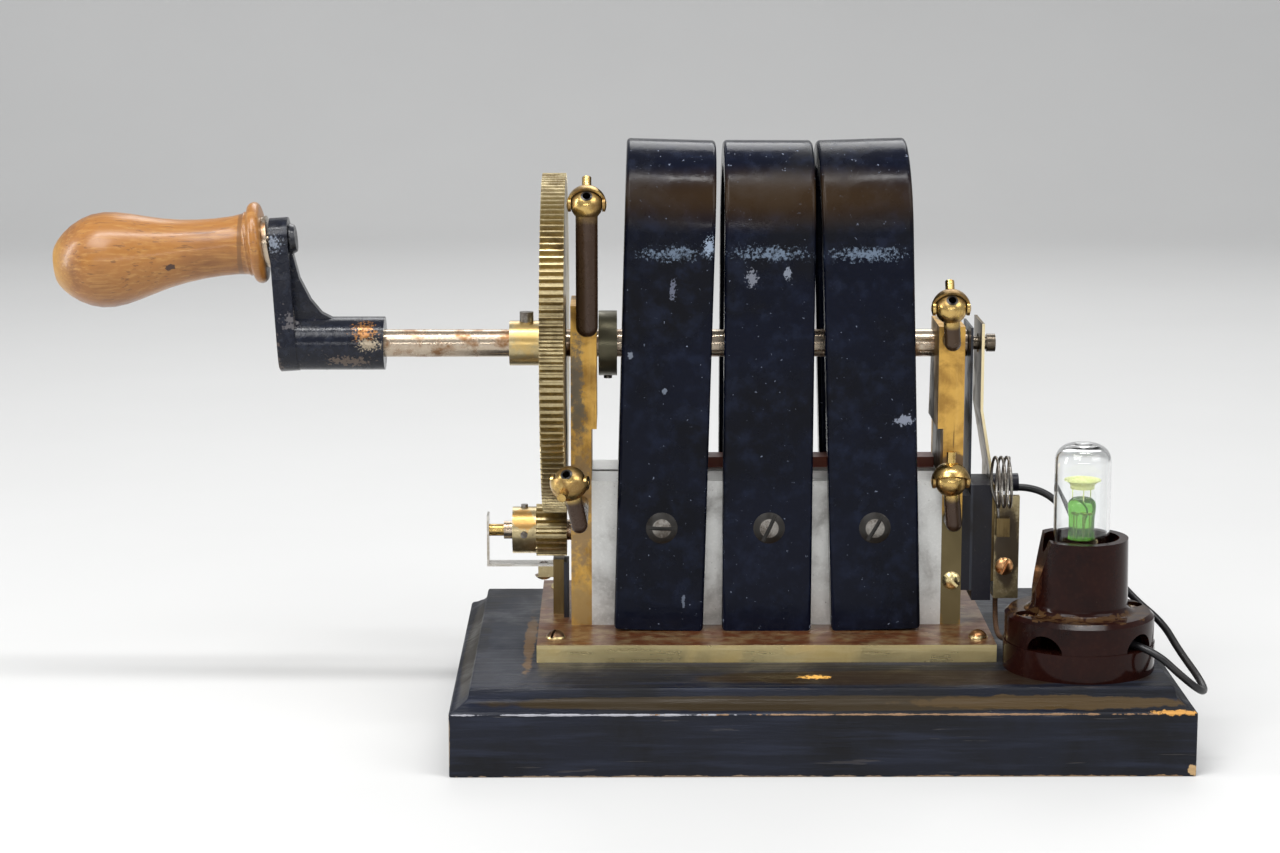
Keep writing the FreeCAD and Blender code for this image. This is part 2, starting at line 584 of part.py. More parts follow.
def make_brackets():
    """Make the two brass end brackets and their front screws."""
    plate_top = S.base_height + S.plate_thickness
    front = S.pole_front
    crank_z = S.armature_z + S.gear_module * (S.gear_teeth + S.pinion_teeth) / 2
    sides = (("left", S.bracket_left_outer, S.pole_left, S.bracket_left_outer, S.pad_left_inner,
              S.bracket_left_top, (("tl", S.oiler_tl_x, S.oiler_tl_elbow),
                                   ("bl", S.oiler_bl_x, S.oiler_bl_elbow))),
             ("right", S.pole_right, S.bracket_right_outer, S.pad_right_inner, S.bracket_right_outer,
              S.bracket_right_top, (("tr", S.oiler_tr_x, S.oiler_tr_elbow),
                                    ("br", S.oiler_br_x, S.oiler_br_elbow))))
    for side, low, high, pad_low, pad_high, top, oilers in sides:
        web = box("bracket_%s_web" % side, (low, high), (front, front + S.bracket_depth),
                  (plate_top, S.pad_bottom))
        corners = [(front, S.pad_bottom), (front + S.pad_depth, S.pad_bottom),
                   (front + S.pad_top_depth, S.pad_taper_z),
                   (front + S.pad_top_depth, top), (front, top)]
        pad = prism("bracket_%s_pad" % side, "YZ_Plane", corners, pad_high - pad_low,
                    (pad_low, 0, 0), middle=False)
        holes = [rod("bracket_%s_bore_%s" % (side, name), (1, 0, 0), (pad_low - 2, S.axis_y, z),
                     radius + S.running_clearance, pad_high - pad_low + 4)
                 for name, z, radius in (("low", S.armature_z, S.armature_shaft),
                                         ("high", crank_z, S.crank_shaft))]
        for name, x, z in oilers:
            holes.append(rod("oiler_seat_%s" % name, (0, 1, 0), (x, front - 1, z),
                             S.oiler_arm - 0.3 + S.fixed_clearance, S.oiler_bite + 1.2))
        for x in ((S.bracket_screw_x, ) if side == "right" else ()):
            holes.append(rod("bracket_screw_seat", (0, 1, 0), (x, front - 1, S.bracket_screw_z),
                             S.small_shank + S.fixed_clearance, S.small_length + 1.2))
        node(cut("bracket_%s" % side, join("bracket_%s_blank" % side, web, pad), *holes))
    return crank_z


def make_small_screws():
    """Make the three like screws of the right bracket, the terminal and the left contact clip."""
    master = screw("small_screw", S.small_head, S.small_head_height, S.small_shank, S.small_length,
                   S.slot_width)
    places = (((S.bracket_screw_x, S.pole_front, S.bracket_screw_z), (0, -1, 0), 135),
              ((S.terminal_screw_x, S.block_front, S.terminal_screw_z), (0, -1, 0), 65),
              ((S.clip_screw_x, S.axis_y, S.strip_spring_foot - S.clip_height), (0, 0, -1), 20))
    node(group("small_screws", *[copy_of(master, "small_screw_%d" % n, at, axis, angle)
                                 for n, (at, axis, angle) in enumerate(places, start=1)]))


def oiler(name, x, y, elbow_z, ball_z, stem, lean, facing, start, span):
    """Make one elbow oiler: its body with a drilled ball, and the shell that turns over it.

    facing turns the head about the upright; start and span are the shell's first angle and its width,
    counted upwards from the front.
    """
    front = S.pole_front
    shift = (ball_z - elbow_z) * math.tan(math.radians(lean))
    centre = (x + shift, y, ball_z)
    lean_axis = (math.sin(math.radians(lean)), 0, math.cos(math.radians(lean)))
    rise = (ball_z - elbow_z) / math.cos(math.radians(lean))
    outer = S.oiler_ball + S.shell_gap + S.shell_thickness
    heading = FreeCAD.Rotation(FreeCAD.Vector(0, 0, 1), facing)
    across = tuple(heading.multVec(FreeCAD.Vector(1, 0, 0)))

    def aim(angle):
        level = math.radians(angle)
        return tuple(heading.multVec(FreeCAD.Vector(0, -math.cos(level), math.sin(level))))

    def along(way, distance):
        return tuple(at + part * distance for at, part in zip(centre, way))

    parts = [
        rod(name + "_spigot", (0, -1, 0), (x, front + S.oiler_bite, elbow_z), S.oiler_arm - 0.3,
            S.oiler_bite + 0.5),
        rod(name + "_arm", (0, -1, 0), (x, front, elbow_z), S.oiler_arm, front - y),
        ball(name + "_elbow", (x, y, elbow_z), S.oiler_arm),
        rod(name + "_stem", lean_axis, (x, y, elbow_z), stem, rise),
        ball(name + "_ball", centre, S.oiler_ball),
        rod(name + "_pivot", across, along(across, outer * -1), S.oiler_pivot, outer * 2),
    ]
    if stem.value > 2.5:
        parts.append(ball(name + "_stem_foot", (x, y, elbow_z), stem))
    hole = rod(name + "_oil_hole", aim(VALUES["oil_hole_rise"]), centre, S.oil_hole, outer)
    node(cut("oiler_%s" % name, join(name + "_blank", *parts), hole))
    inner = S.oiler_ball + S.shell_gap
    sector = ball(name + "_sector", centre, outer)
    bind(sector, "Angle3", span)
    frame = FreeCAD.Rotation(FreeCAD.Vector(0, -1, 0), FreeCAD.Vector(0, 0, 1), FreeCAD.Vector(-1, 0, 0),
                             "ZXY")
    spin = FreeCAD.Rotation(FreeCAD.Vector(-1, 0, 0), start)
    sector.Placement.Rotation = heading.multiply(spin.multiply(frame))
    ears = common(name + "_ears", ball(name + "_ear_ball", centre, outer),
                  rod(name + "_ear_disc", across, along(across, outer * -1), S.oiler_ear, outer * 2))
    away = aim(start + span.value / 2)
    stub = rod(name + "_handle", away, along(away, outer - 0.4), S.shell_handle, S.shell_handle_height)
    hollow = ball(name + "_hollow", centre, inner)
    way = rod(name + "_pivot_way", across, along(across, outer * -1 - 1),
              S.oiler_pivot + S.running_clearance, outer * 2 + 2)
    node(cut("oiler_cap_%s" % name, join(name + "_cap_blank", sector, ears, stub), hollow, way))


def make_oilers():
    """Make the four oilers."""
    closed = VALUES["shell_start"]
    opened = closed + VALUES["shell_open"]
    oiler("tl", S.oiler_tl_x, S.oiler_y, S.oiler_tl_elbow, S.oiler_tl_ball, S.oiler_long_stem, 0.0, 0.0,
          opened, S.shell_span)
    oiler("bl", S.oiler_bl_x, S.oiler_bl_y, S.oiler_bl_elbow, S.oiler_bl_ball, S.oiler_stem, -12.0,
          VALUES["oiler_bl_facing"], VALUES["shell_bl_start"], S.shell_bl_span)
    oiler("tr", S.oiler_tr_x, S.oiler_y, S.oiler_tr_elbow, S.oiler_tr_ball, S.oiler_stem, -4.0, 0.0,
          opened, S.shell_span)
    oiler("br", S.oiler_br_x, S.oiler_y, S.oiler_br_elbow, S.oiler_br_ball, S.oiler_stem, -5.0, 0.0,
          closed, S.shell_span)


def make_crank(z):
    """Make the crank shaft with gear, collar, crank casting, pin and wooden grip."""
    y = S.axis_y
    start = S.boss_left + 1.2
    corners = [(start, 0), (start, S.crank_shaft), (S.crank_shaft_right, S.crank_shaft),
               (S.crank_shaft_right, S.crank_stub), (S.crank_rim_left, S.crank_stub),
               (S.crank_rim_left, S.crank_rim), (S.crank_stub_right, S.crank_rim), (S.crank_stub_right, 0)]
    node(turned("crank_shaft", corners, (0, y, z)))
    wheel = toothed("gear_teeth_wheel", S.gear_teeth, S.gear_left, S.gear_right, z, S.crank_shaft, 0.0, 1,
                    (S.hub_left, S.hub_radius))
    seat = rod("gear_screw_seat", (0, 0, 1), (S.gear_screw_x, y, z), S.gear_screw + S.fixed_clearance,
               S.hub_radius + 1)
    node(cut("gear_wheel", wheel, seat))
    stem = rod("gear_screw_stem", (0, 0, 1), (S.gear_screw_x, y, z + S.crank_shaft), S.gear_screw,
               S.hub_radius - S.crank_shaft + S.gear_screw_height)
    groove = box("gear_screw_groove", (S.gear_screw_x - 4, S.gear_screw_x + 4), (y - 0.35, y + 0.35),
                 (z + S.hub_radius + S.gear_screw_height - 0.9, z + S.hub_radius + S.gear_screw_height + 1))
    node(cut("gear_screw", stem, groove))
    ring = rod("thrust_disc", (1, 0, 0), (S.thrust_left, y, z), S.thrust_radius,
               S.thrust_right - S.thrust_left)
    ring_bore = rod("thrust_bore", (1, 0, 0), (S.thrust_left - 1, y, z), S.crank_shaft + S.fixed_clearance,
                    S.thrust_right - S.thrust_left + 2)
    middle = (S.thrust_left + S.thrust_right) / 2
    ring_seat = rod("thrust_seat", (0, 0, -1), (middle, y, z), S.thrust_screw + S.fixed_clearance,
                    S.thrust_radius + 1)
    node(cut("thrust_collar", ring, ring_bore, ring_seat))
    node(rod("thrust_screw", (0, 0, -1), (middle, y, z - S.crank_shaft), S.thrust_screw,
             S.thrust_radius - S.crank_shaft + S.small_screw_proud))
    lean = math.radians(VALUES["arm_lean"])
    eye_z = S.crank_radius
    eye_x = S.arm_left_low + S.arm_thickness / 2 - S.crank_radius * math.tan(lean)
    low = S.boss_radius + 0.35
    wide = S.arm_half_width
    arm = prism("crank_arm", "YZ_Plane", [(-low, 0), (low, 0), (wide, eye_z), (-wide, eye_z)],
                S.arm_thickness, (S.arm_left_low + S.arm_thickness / 2, y, z),
                {0: (0, 0, 1), 2: (0, eye_z, 1)})
    arm.Placement.Rotation = FreeCAD.Rotation(FreeCAD.Vector(0, 1, 0), -VALUES["arm_lean"])
    boss = rod("crank_boss", (1, 0, 0), (S.boss_left, y, z), S.boss_radius, S.boss_right - S.boss_left)
    inner = S.arm_left_low + S.arm_thickness - 1
    web = prism("crank_web", "XZ_Plane",
                [(inner - 1.5, z + 4), (S.boss_left + 17.4, z + 4), (S.boss_left + 16.0, z + 7.0),
                 (S.boss_left + 12.2, z + 9.0), (S.boss_left + 9.1, z + 12.8), (S.boss_left + 6.0, z + 19.0),
                 (S.boss_left + 3.5, z + 29.0), (inner - 3.0, z + 28.5)],
                S.web_thickness, (0, y, 0))
    bore = rod("crank_bore", (1, 0, 0), (start, y, z), S.crank_shaft + S.fixed_clearance,
               S.boss_right - start + 1)
    tilt = math.radians(VALUES["pin_tilt"])
    along = (-math.cos(tilt), 0, -math.sin(tilt))
    pivot_z = z + S.crank_radius * math.cos(lean)

    def on_pin(distance):
        return (eye_x + distance * along[0], y, pivot_z + distance * along[2])

    pin_way = rod("crank_pin_way", along, on_pin(dim(-8)), S.pin_radius + S.fixed_clearance, 20)
    spot = rod("crank_spot_face", along, on_pin(S.arm_thickness * 0.5 + 0.5), 9, 6)
    back = rod("crank_back_face", tuple(-a for a in along), on_pin(S.arm_thickness * -0.5 - 0.3), 4.8, 6)
    node(cut("crank_casting", join("casting_blank", arm, boss, web), bore, pin_way, spot, back))
    spot_at = S.arm_thickness * 0.5 + 0.5
    back_at = S.arm_thickness * -0.5 - 0.3
    grip_end = spot_at + S.washer_thickness + S.end_play + S.grip_length
    pin_end = grip_end - S.pin_recess
    shoulder = spot_at + S.washer_thickness
    corners = [(back_at - S.pin_head_height, 0), (back_at - S.pin_head_height, S.pin_head - 0.6),
               (back_at - 0.4, S.pin_head), (back_at, S.pin_head), (back_at, S.pin_radius),
               (spot_at, S.pin_radius), (spot_at, S.pin_washer), (shoulder, S.pin_washer),
               (shoulder, S.pin_radius), (pin_end, S.pin_radius), (pin_end, S.pin_head),
               (pin_end + 1.4, S.pin_head - 0.8),
               (pin_end + 1.4, 0)]
    node(turned("handle_pin", corners, on_pin(dim(0)), along))
    begin = shoulder + S.end_play
    hole = S.pin_radius + S.running_clearance
    bead_end = begin + S.bead_length
    recess = S.pin_head + 0.4
    bulb_at = begin + S.bulb_middle
    rest = grip_end - 0.8 - bulb_at
    tip = S.pin_head + 2.6
    sag = (S.bulb_radius * S.bulb_radius - rest * rest - tip * tip) / (2 * (S.bulb_radius - tip))
    corners = [(begin, hole), (begin, S.bead_radius - 1.2), (begin + S.bead_length * 0.5, S.bead_radius),
               (bead_end, S.bead_radius - 1.0), (bead_end + 0.4, S.neck_radius + 0.5),
               (bead_end + 5.6, S.neck_radius), (bead_end + 16, S.neck_radius + 0.3),
               (bulb_at - 14, S.neck_radius + 1.4), (bulb_at - 8, S.bulb_radius - 1.9),
               (bulb_at - 3.5, S.bulb_radius - 0.4), (bulb_at, S.bulb_radius), (grip_end - 0.8, tip),
               (grip_end, tip - 0.8), (grip_end, recess),
               (pin_end - 0.1, recess), (pin_end - 0.1, hole)]
    grip = turned("handle_grip", corners, on_pin(dim(0)), along,
                  {10: (bulb_at, sag, -1)})
    node(grip)
    print("pin axis through %.3f %.3f %.3f along %.5f %.5f %.5f" % (
        eye_x.value, y.value, pivot_z.value, along[0], along[1], along[2]))


def make_left_contact():
    """Make the contact spring at the left end of the armature and what carries it."""
    plate_top = S.base_height + S.plate_thickness
    y = S.axis_y
    half = S.strip_spring_width / 2
    thick = S.strip_spring_thickness
    left = S.contact_tip_left - thick
    foot = S.strip_spring_foot
    corners = [(left, foot), (left, S.strip_spring_top), (left + thick, S.strip_spring_top),
               (left + thick, foot + thick), (S.post_left, foot + thick), (S.post_left, foot)]
    spring = prism("contact_strip", "XZ_Plane", corners, S.strip_spring_width, (0, y, 0))
    seat = rod("contact_strip_hole", (0, 0, 1), (S.clip_screw_x, y, foot - 1), S.small_shank + 0.1, 3)
    node(cut("contact_strip_spring", spring, seat))
    node(cut("contact_clip", box("clip_blank", (S.clip_left, S.post_left), (y - half, y + half),
                                 (foot - S.clip_height, foot)),
             rod("clip_tap", (0, 0, 1), (S.clip_screw_x, y, foot - S.clip_height - 1),
                 S.small_shank + S.fixed_clearance, S.clip_height + 2)))
    node(box("contact_post", (S.post_left, S.post_right), (S.post_front, S.post_front + 6.4),
             (plate_top, S.post_top)))
    node(box("insulating_strip", (S.post_right, S.post_right + S.insulator_thickness),
             (S.post_front - 4.6, S.post_front + 4.0), (plate_top, S.insulator_top - 12)))


def make_right_contact(z):
    """Make the cut-in contact stack on the right bracket with its terminal."""
    y = S.axis_y
    face = S.bracket_right_outer
    inner = S.spacer_right
    leaf = S.leaf_thickness
    front = S.block_front
    rear = S.block_rear
    bolts = [(front + 5.0, S.block_bottom + 7.5), (front + 5.0, S.block_top - 8.0)]

    def ways(name, low, high, radius):
        return [rod("%s_way_%d" % (name, n), (1, 0, 0), (low - 1, by, bz), radius, high - low + 2)
                for n, (by, bz) in enumerate(bolts, start=1)]

    node(cut("stack_spacer", box("spacer_blank", (face, inner - leaf), (front, rear),
                                 (S.block_bottom + 3, S.block_top - 3)),
             rod("spacer_shaft_way", (1, 0, 0), (face - 1, y, S.armature_z), S.armature_shaft + 2, 6),
             *ways("spacer", face, inner, 1.6)))
    low_leaf = box("inner_leaf_foot", (inner - leaf, inner), (front, rear),
                   (S.block_bottom + 3, S.block_top))
    high_leaf = box("inner_leaf_blade", (inner - leaf, inner), (S.leaf_front, S.leaf_rear),
                    (S.block_top - 6, S.inner_leaf_top))
    inner_ways = ways("inner_leaf", inner - leaf, inner, 1.6)
    inner_ways.append(rod("inner_leaf_hole", (1, 0, 0), (inner - 2, y, z), S.leaf_hole, 4))
    node(cut("inner_leaf", join("inner_leaf_blank", low_leaf, high_leaf), *inner_ways))
    node(cut("spring_block", box("block_blank", (inner, S.block_right), (front, rear),
                                 (S.block_bottom, S.block_top)),
             *ways("block", inner, S.block_right, 1.6)))
    right = S.block_right
    top_x = S.outer_leaf_upper_x
    thick = S.outer_leaf_thickness
    corners = [(right, S.outer_leaf_bottom), (right, S.leaf_bend_z), (top_x, S.leaf_upper_z),
               (top_x, S.outer_leaf_top), (top_x + thick, S.outer_leaf_top), (top_x + thick, S.leaf_upper_z),
               (right + thick, S.leaf_bend_z), (right + thick, S.outer_leaf_bottom)]
    blade = prism("outer_leaf_blade", "XZ_Plane", corners, S.leaf_rear - S.leaf_front,
                  (0, (S.leaf_rear + S.leaf_front) / 2, 0))
    foot = box("outer_leaf_foot", (right, right + thick), (front + 1, S.leaf_front + 1),
               (S.outer_leaf_bottom, S.block_top))
    outer_ways = ways("outer_leaf", right, right + thick, 1.6)
    outer_ways.append(rod("outer_leaf_hole", (1, 0, 0), (top_x - thick, y, z), S.leaf_hole, thick * 3))
    node(cut("contact_leaf", join("outer_leaf_blank", foot, blade), *outer_ways))
    side = right + thick
    flange = box("terminal_flange", (side, side + S.terminal_plate), (front, S.leaf_front),
                 (S.terminal_bottom, S.terminal_top))
    face_plate = box("terminal_face", (side, S.terminal_right), (front, front + S.terminal_plate),
                     (S.terminal_bottom, S.terminal_top))
    plate_way = rod("terminal_tap", (0, 1, 0), (S.terminal_screw_x, front - 1, S.terminal_screw_z),
                    S.small_shank + S.fixed_clearance, S.small_length + 2)
    node(cut("terminal_plate", join("terminal_blank", flange, face_plate), plate_way,
             *ways("terminal", side, side + S.terminal_plate, 1.35)))
    master = screw("stack_bolt_master", dim(2.2), dim(1.2), dim(1.3), side + S.terminal_plate - face - 0.2,
                   S.slot_width)
    node(group("stack_bolts", *[copy_of(master, "stack_bolt_%d" % n, (side + S.terminal_plate, by, bz),
                                        (1, 0, 0), 30 * n)
                                for n, (by, bz) in enumerate(bolts, start=1)]))
    node(box("terminal_clamp", (S.clamp_left, S.clamp_right), (front - 3.2, front),
             (S.clamp_bottom, S.clamp_top)))
    node(rod("coil_stud", (1, 0, 0), (side, S.stud_y, S.stud_z), S.stud_radius, S.stud_right - side))
    node(coil_lead())


def curve_edge(start, corner, end):
    """Return the arc from start to end that is tangent to both lines through the corner."""
    middle = (start + end) * 0.5
    half = (end - start).Length / 2.0
    share = min(half / (corner - start).Length, 1.0)
    sag = half * math.tan(math.acos(share) / 2.0)
    return Part.Arc(start, middle + (corner - middle).normalize() * sag, end).toShape()


def coil_lead():
    """Return the coiled lead from the clamp to the stud, a helix of tangent arc pairs."""
    radius = sheet("coil_radius")
    wire = sheet("coil_wire")
    pitch = sheet("coil_pitch")
    middle = FreeCAD.Vector(sheet("coil_left"), sheet("coil_y"), sheet("coil_z"))
    per_turn = 4
    up = FreeCAD.Vector(0, 0, 1)
    foot = FreeCAD.Vector(sheet("coil_start_x"), sheet("coil_start_y"), sheet("clamp_top"))
    knots = [(foot, up)]
    for step in range(int(sheet("coil_turns")) * per_turn + 1):
        angle = 2 * math.pi * step / per_turn
        ring = FreeCAD.Vector(0, math.cos(angle), math.sin(angle))
        along = FreeCAD.Vector(0, -math.sin(angle), math.cos(angle)) * (2 * math.pi * radius)
        knots.append((middle + ring * radius + FreeCAD.Vector(pitch * step / per_turn, 0, 0),
                      (along + FreeCAD.Vector(pitch, 0, 0)).normalize()))
    landing = FreeCAD.Vector(sheet("coil_end_x"), sheet("stud_y"), sheet("stud_z") + sheet("stud_radius"))
    knots.append((landing, up * -1))
    edges = []
    for (start, out), (end, into) in zip(knots, knots[1:]):
        reach = end - start
        both = 2 * reach.dot(out + into)
        spread = 2 * (1 - out.dot(into))
        arm = 2 * reach.dot(reach) / (both + math.sqrt(both * both + 4 * spread * reach.dot(reach)))
        first = start + out * arm
        second = end - into * arm
        joint = (first + second) * 0.5
        edges.append(curve_edge(start, first, joint))
        edges.append(curve_edge(joint, second, end))
    ring = Part.Wire([Part.Circle(knots[0][0], knots[0][1], wire).toShape()])
    made = Part.Wire(edges).makePipeShell([ring], True, False)
    print("coil least gap %.2f mm, volume ratio %.4f" % (
        pitch - 2 * wire, made.Volume / (math.pi * wire ** 2 * sum(edge.Length for edge in edges))))
    item = DOC.addObject("Part::Feature", "coil_lead")
    item.Shape = made
    return item


def make_lamp():
    """Make the moulded lamp holder, its metal parts and the lamp."""
    x = S.holder_x
    y = S.holder_y
    floor = S.base_height
    seam = floor + S.holder_base_height
    up = (0, 0, 1)
    spots = holder_screw_places()
    bases = [rod("holder_base_way_%d" % n, up, (sx, sy, floor - 1), S.holder_screw + 0.1, 40)
             for n, (sx, sy) in enumerate(spots, start=1)]
    black, brown = lead_routes()
    end, way = along_last(brown)
    bases.append(rod("brown_entry", tuple(-way), tuple(end), S.brown_wire + S.fixed_clearance, 8))
    node(cut("lamp_holder_base", rod("holder_disc", up, (x, y, floor), S.holder_radius,
                                     S.holder_base_height), *bases))
    foot = S.neck_outer + 2.4
    corners = [(seam, S.holder_cap_radius - 2.6), (seam, S.holder_cap_radius),
               (S.holder_cap_top - 1.2, S.holder_cap_radius),
               (S.holder_cap_top, S.holder_cap_radius - 1.2), (S.holder_cap_top, foot),
               (S.holder_cap_top + 2.4, S.neck_outer), (S.holder_neck_top, S.neck_outer - 0.3),
               (S.holder_neck_top, S.neck_inner), (S.holder_cap_top - S.cap_thickness, S.neck_inner),
               (S.holder_cap_top - S.cap_thickness, S.holder_cap_radius - 2.6)]
    shell = turned("holder_shell", corners, (x, y, 0), up, {4: (S.holder_cap_top + 2.4, foot, 1)})
    pillars = [rod("holder_pillar_%d" % n, up, (sx, sy, seam), S.holder_screw + 2.2,
                   S.holder_cap_top - 3 - seam)
               for n, (sx, sy) in enumerate(spots, start=1)]
    tools = [rod("holder_cap_way_%d" % n, up, (sx, sy, seam - 1), S.holder_screw + 0.1, 20)
             for n, (sx, sy) in enumerate(spots, start=1)]
    tools += [rod("holder_counterbore_%d" % n, up, (sx, sy, S.holder_cap_top - 1.9),
                  S.holder_screw_head + 0.3, 4)
              for n, (sx, sy) in enumerate(spots, start=1)]
    for name, angle in (("left", VALUES["entry_left_angle"]), ("right", VALUES["entry_right_angle"])):
        direction = (math.cos(math.radians(angle)), math.sin(math.radians(angle)), 0)
        mouth = box("entry_%s_box" % name, (0, 14), (S.entry_width * -0.5, S.entry_width * 0.5), (-6, 6))
        arch = rod("entry_%s_arch" % name, (1, 0, 0), (0, 0, S.entry_height - 5.6), dim(5.6), 14)
        opening = common("entry_%s" % name, mouth, arch)
        opening.Placement.Rotation = FreeCAD.Rotation(up_vector(), angle)
        place(opening, x + direction[0] * 12.5, y + direction[1] * 12.5, seam)
        tools.append(opening)
    slant = prism("mouth_cut", "XZ_Plane",
                  [(S.mouth_cut_x - 8, S.mouth_cut_z), (S.mouth_cut_x, S.mouth_cut_z),
                   (S.mouth_cut_top_x, S.holder_neck_top + 0.5), (S.mouth_cut_x - 8,
                                                                  S.holder_neck_top + 0.5)],
                  40, (0, y, 0))
    tools.append(slant)
    node(cut("lamp_holder_cap", join("holder_cap_blank", shell, *pillars), *tools))
    head = S.holder_cap_top - 1.9
    master = screw("holder_screw_master", S.holder_screw_head, dim(1.6), S.holder_screw, head - floor + 7,
                   S.slot_width)
    node(group("holder_screws", *[copy_of(master, "holder_screw_%d" % n, (sx, sy, head), up, 35 * n)
                                  for n, (sx, sy) in enumerate(spots, start=1)]))
    end, way = along_last(black)
    ceiling = S.holder_cap_top - S.cap_thickness
    lug = box("socket_lug", (S.sleeve_inner + 0.5, S.lug_reach), (S.lug_half_width * -1, S.lug_half_width),
              (0, ceiling - seam - 0.1))
    heading = math.degrees(math.atan2(end.y - y.value, end.x - x.value))
    lug.Placement.Rotation = FreeCAD.Rotation(up_vector(), heading)
    turned_in = math.radians(heading)
    reach = S.sleeve_inner + 0.5
    half = S.lug_half_width
    place(lug, x + reach * math.cos(turned_in) + half * math.sin(turned_in),
          y + reach * math.sin(turned_in) - half * math.cos(turned_in), seam)
    sleeve = rod("socket_sleeve", up, (x, y, seam), S.sleeve_outer, S.sleeve_top - seam)
    node(cut("lamp_socket", join("socket_blank", sleeve, lug),
             rod("black_entry", tuple(-way), tuple(end), S.black_cable + S.fixed_clearance, S.lug_reach),
             rod("socket_hollow", up, (x, y, seam + S.socket_floor), S.sleeve_inner, S.sleeve_top - seam),
             rod("socket_contact_way", up, (x, y, seam - 1), S.contact_stud + 1.5, S.socket_floor * 2 + 1)))
    node(rod("socket_contact", up, (x, y, seam), S.contact_stud, S.lamp_cap_bottom - seam))
    node(rod("lamp_cap", up, (x, y, S.lamp_cap_bottom), S.lamp_cap_radius,
             S.lamp_cap_top - S.lamp_cap_bottom))
    dome = S.lamp_top - S.lamp_radius
    inside = S.lamp_radius - S.lamp_wall
    corners = [(S.lamp_cap_top, inside), (S.lamp_cap_top, S.lamp_radius), (dome, S.lamp_radius),
               (S.lamp_top, 0),
               (S.lamp_top - S.lamp_wall, 0), (dome, inside)]
    node(turned("lamp_glass", corners, (x, y, 0), up, {2: (dome, 0, -1), 4: (dome, 0, 1)}))
    bulb_dome = S.inner_bulb_top - S.inner_bulb_radius
    corners = [(S.lamp_cap_top, 0), (S.lamp_cap_top, S.inner_bulb_radius), (bulb_dome, S.inner_bulb_radius),
               (S.inner_bulb_top, 0)]
    node(turned("lamp_inner_bulb", corners, (x, y, 0), up, {2: (bulb_dome, 0, -1)}))
    ring = DOC.addObject("Part::Torus", "lamp_ring_hoop")
    bind(ring, "Radius1", S.lamp_ring_radius)
    bind(ring, "Radius2", S.lamp_wire)
    place(ring, x, y, S.lamp_ring_z)
    bar = rod("lamp_ring_bar", (1, 0, 0), (x - S.lamp_ring_radius, y, S.lamp_ring_z), S.lamp_wire * 0.8,
              S.lamp_ring_radius * 2)
    post = rod("lamp_ring_post", up, (x, y, S.inner_bulb_top), S.lamp_wire * 0.9,
               S.lamp_ring_z - S.inner_bulb_top)
    node(join("lamp_ring", ring, bar, post))


def up_vector():
    """Return the upward direction."""
    return FreeCAD.Vector(0, 0, 1)


def lead_routes():
    """Return the corner points of the black cable and of the brown wire."""
    hx = sheet("holder_x")
    hy = sheet("holder_y")
    top = sheet("base_height")
    stud = (sheet("stud_right"), sheet("stud_y"), sheet("stud_z") - 1.5)
    black = [stud, (stud[0] + CABLE_EXIT, stud[1], stud[2])]
    black += [(hx + dx, hy + dy, top + dz) for dx, dy, dz in CABLE_BENDS]
    flange = sheet("block_right") + sheet("outer_leaf_thickness") + sheet("terminal_plate") / 2
    brown = [(flange, WIRE_BENDS[0][1], sheet("terminal_bottom"))]
    brown += [(flange + dx, y, top + dz) for dx, y, dz in WIRE_BENDS]
    return black, brown


def along_last(points):
    """Return the end point of a route and the direction of its last run."""
    last = FreeCAD.Vector(*points[-1])
    way = (last - FreeCAD.Vector(*points[-2])).normalize()
    return last, way


def make_leads():
    """Make the black cable and the brown wire that run to the lamp holder."""
    black, brown = lead_routes()
    node(tube("lead_black", black, sheet("black_cable")))
    node(tube("lead_brown", brown, sheet("brown_wire")))


make_base()
make_magnets()
make_poles()
make_armature()
CRANK_Z = make_brackets()
make_oilers()
make_crank(CRANK_Z)
make_left_contact()
make_right_contact(CRANK_Z)
make_small_screws()
make_lamp()
DOC.recompute()
make_leads()
DOC.recompute()

for thing in DOC.Objects:
    if "Invalid" in thing.State or "Error" in thing.State:
        raise RuntimeError("%s is in state %s" % (thing.Name, thing.State))
os.makedirs("parts", exist_ok=True)
for part in NODES:
    shape = part.Shape
    if shape.isNull() or not shape.isValid() or not shape.Solids:
        raise RuntimeError("%s has no sound solid" % part.Label)
    limits = shape.BoundBox
    print("%-22s solids %d volume %9.1f x %.1f..%.1f y %.1f..%.1f z %.1f..%.1f" % (
        part.Label, len(shape.Solids), shape.Volume, limits.XMin, limits.XMax, limits.YMin,
        limits.YMax, limits.ZMin, limits.ZMax))
    shape.exportStep("parts/%s.step" % part.Label)
print("%d parts written" % len(NODES))
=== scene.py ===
import json
import logging
import math
from dataclasses import dataclass
from enum import Enum

import bmesh
import bpy
from mathutils import Matrix, Vector


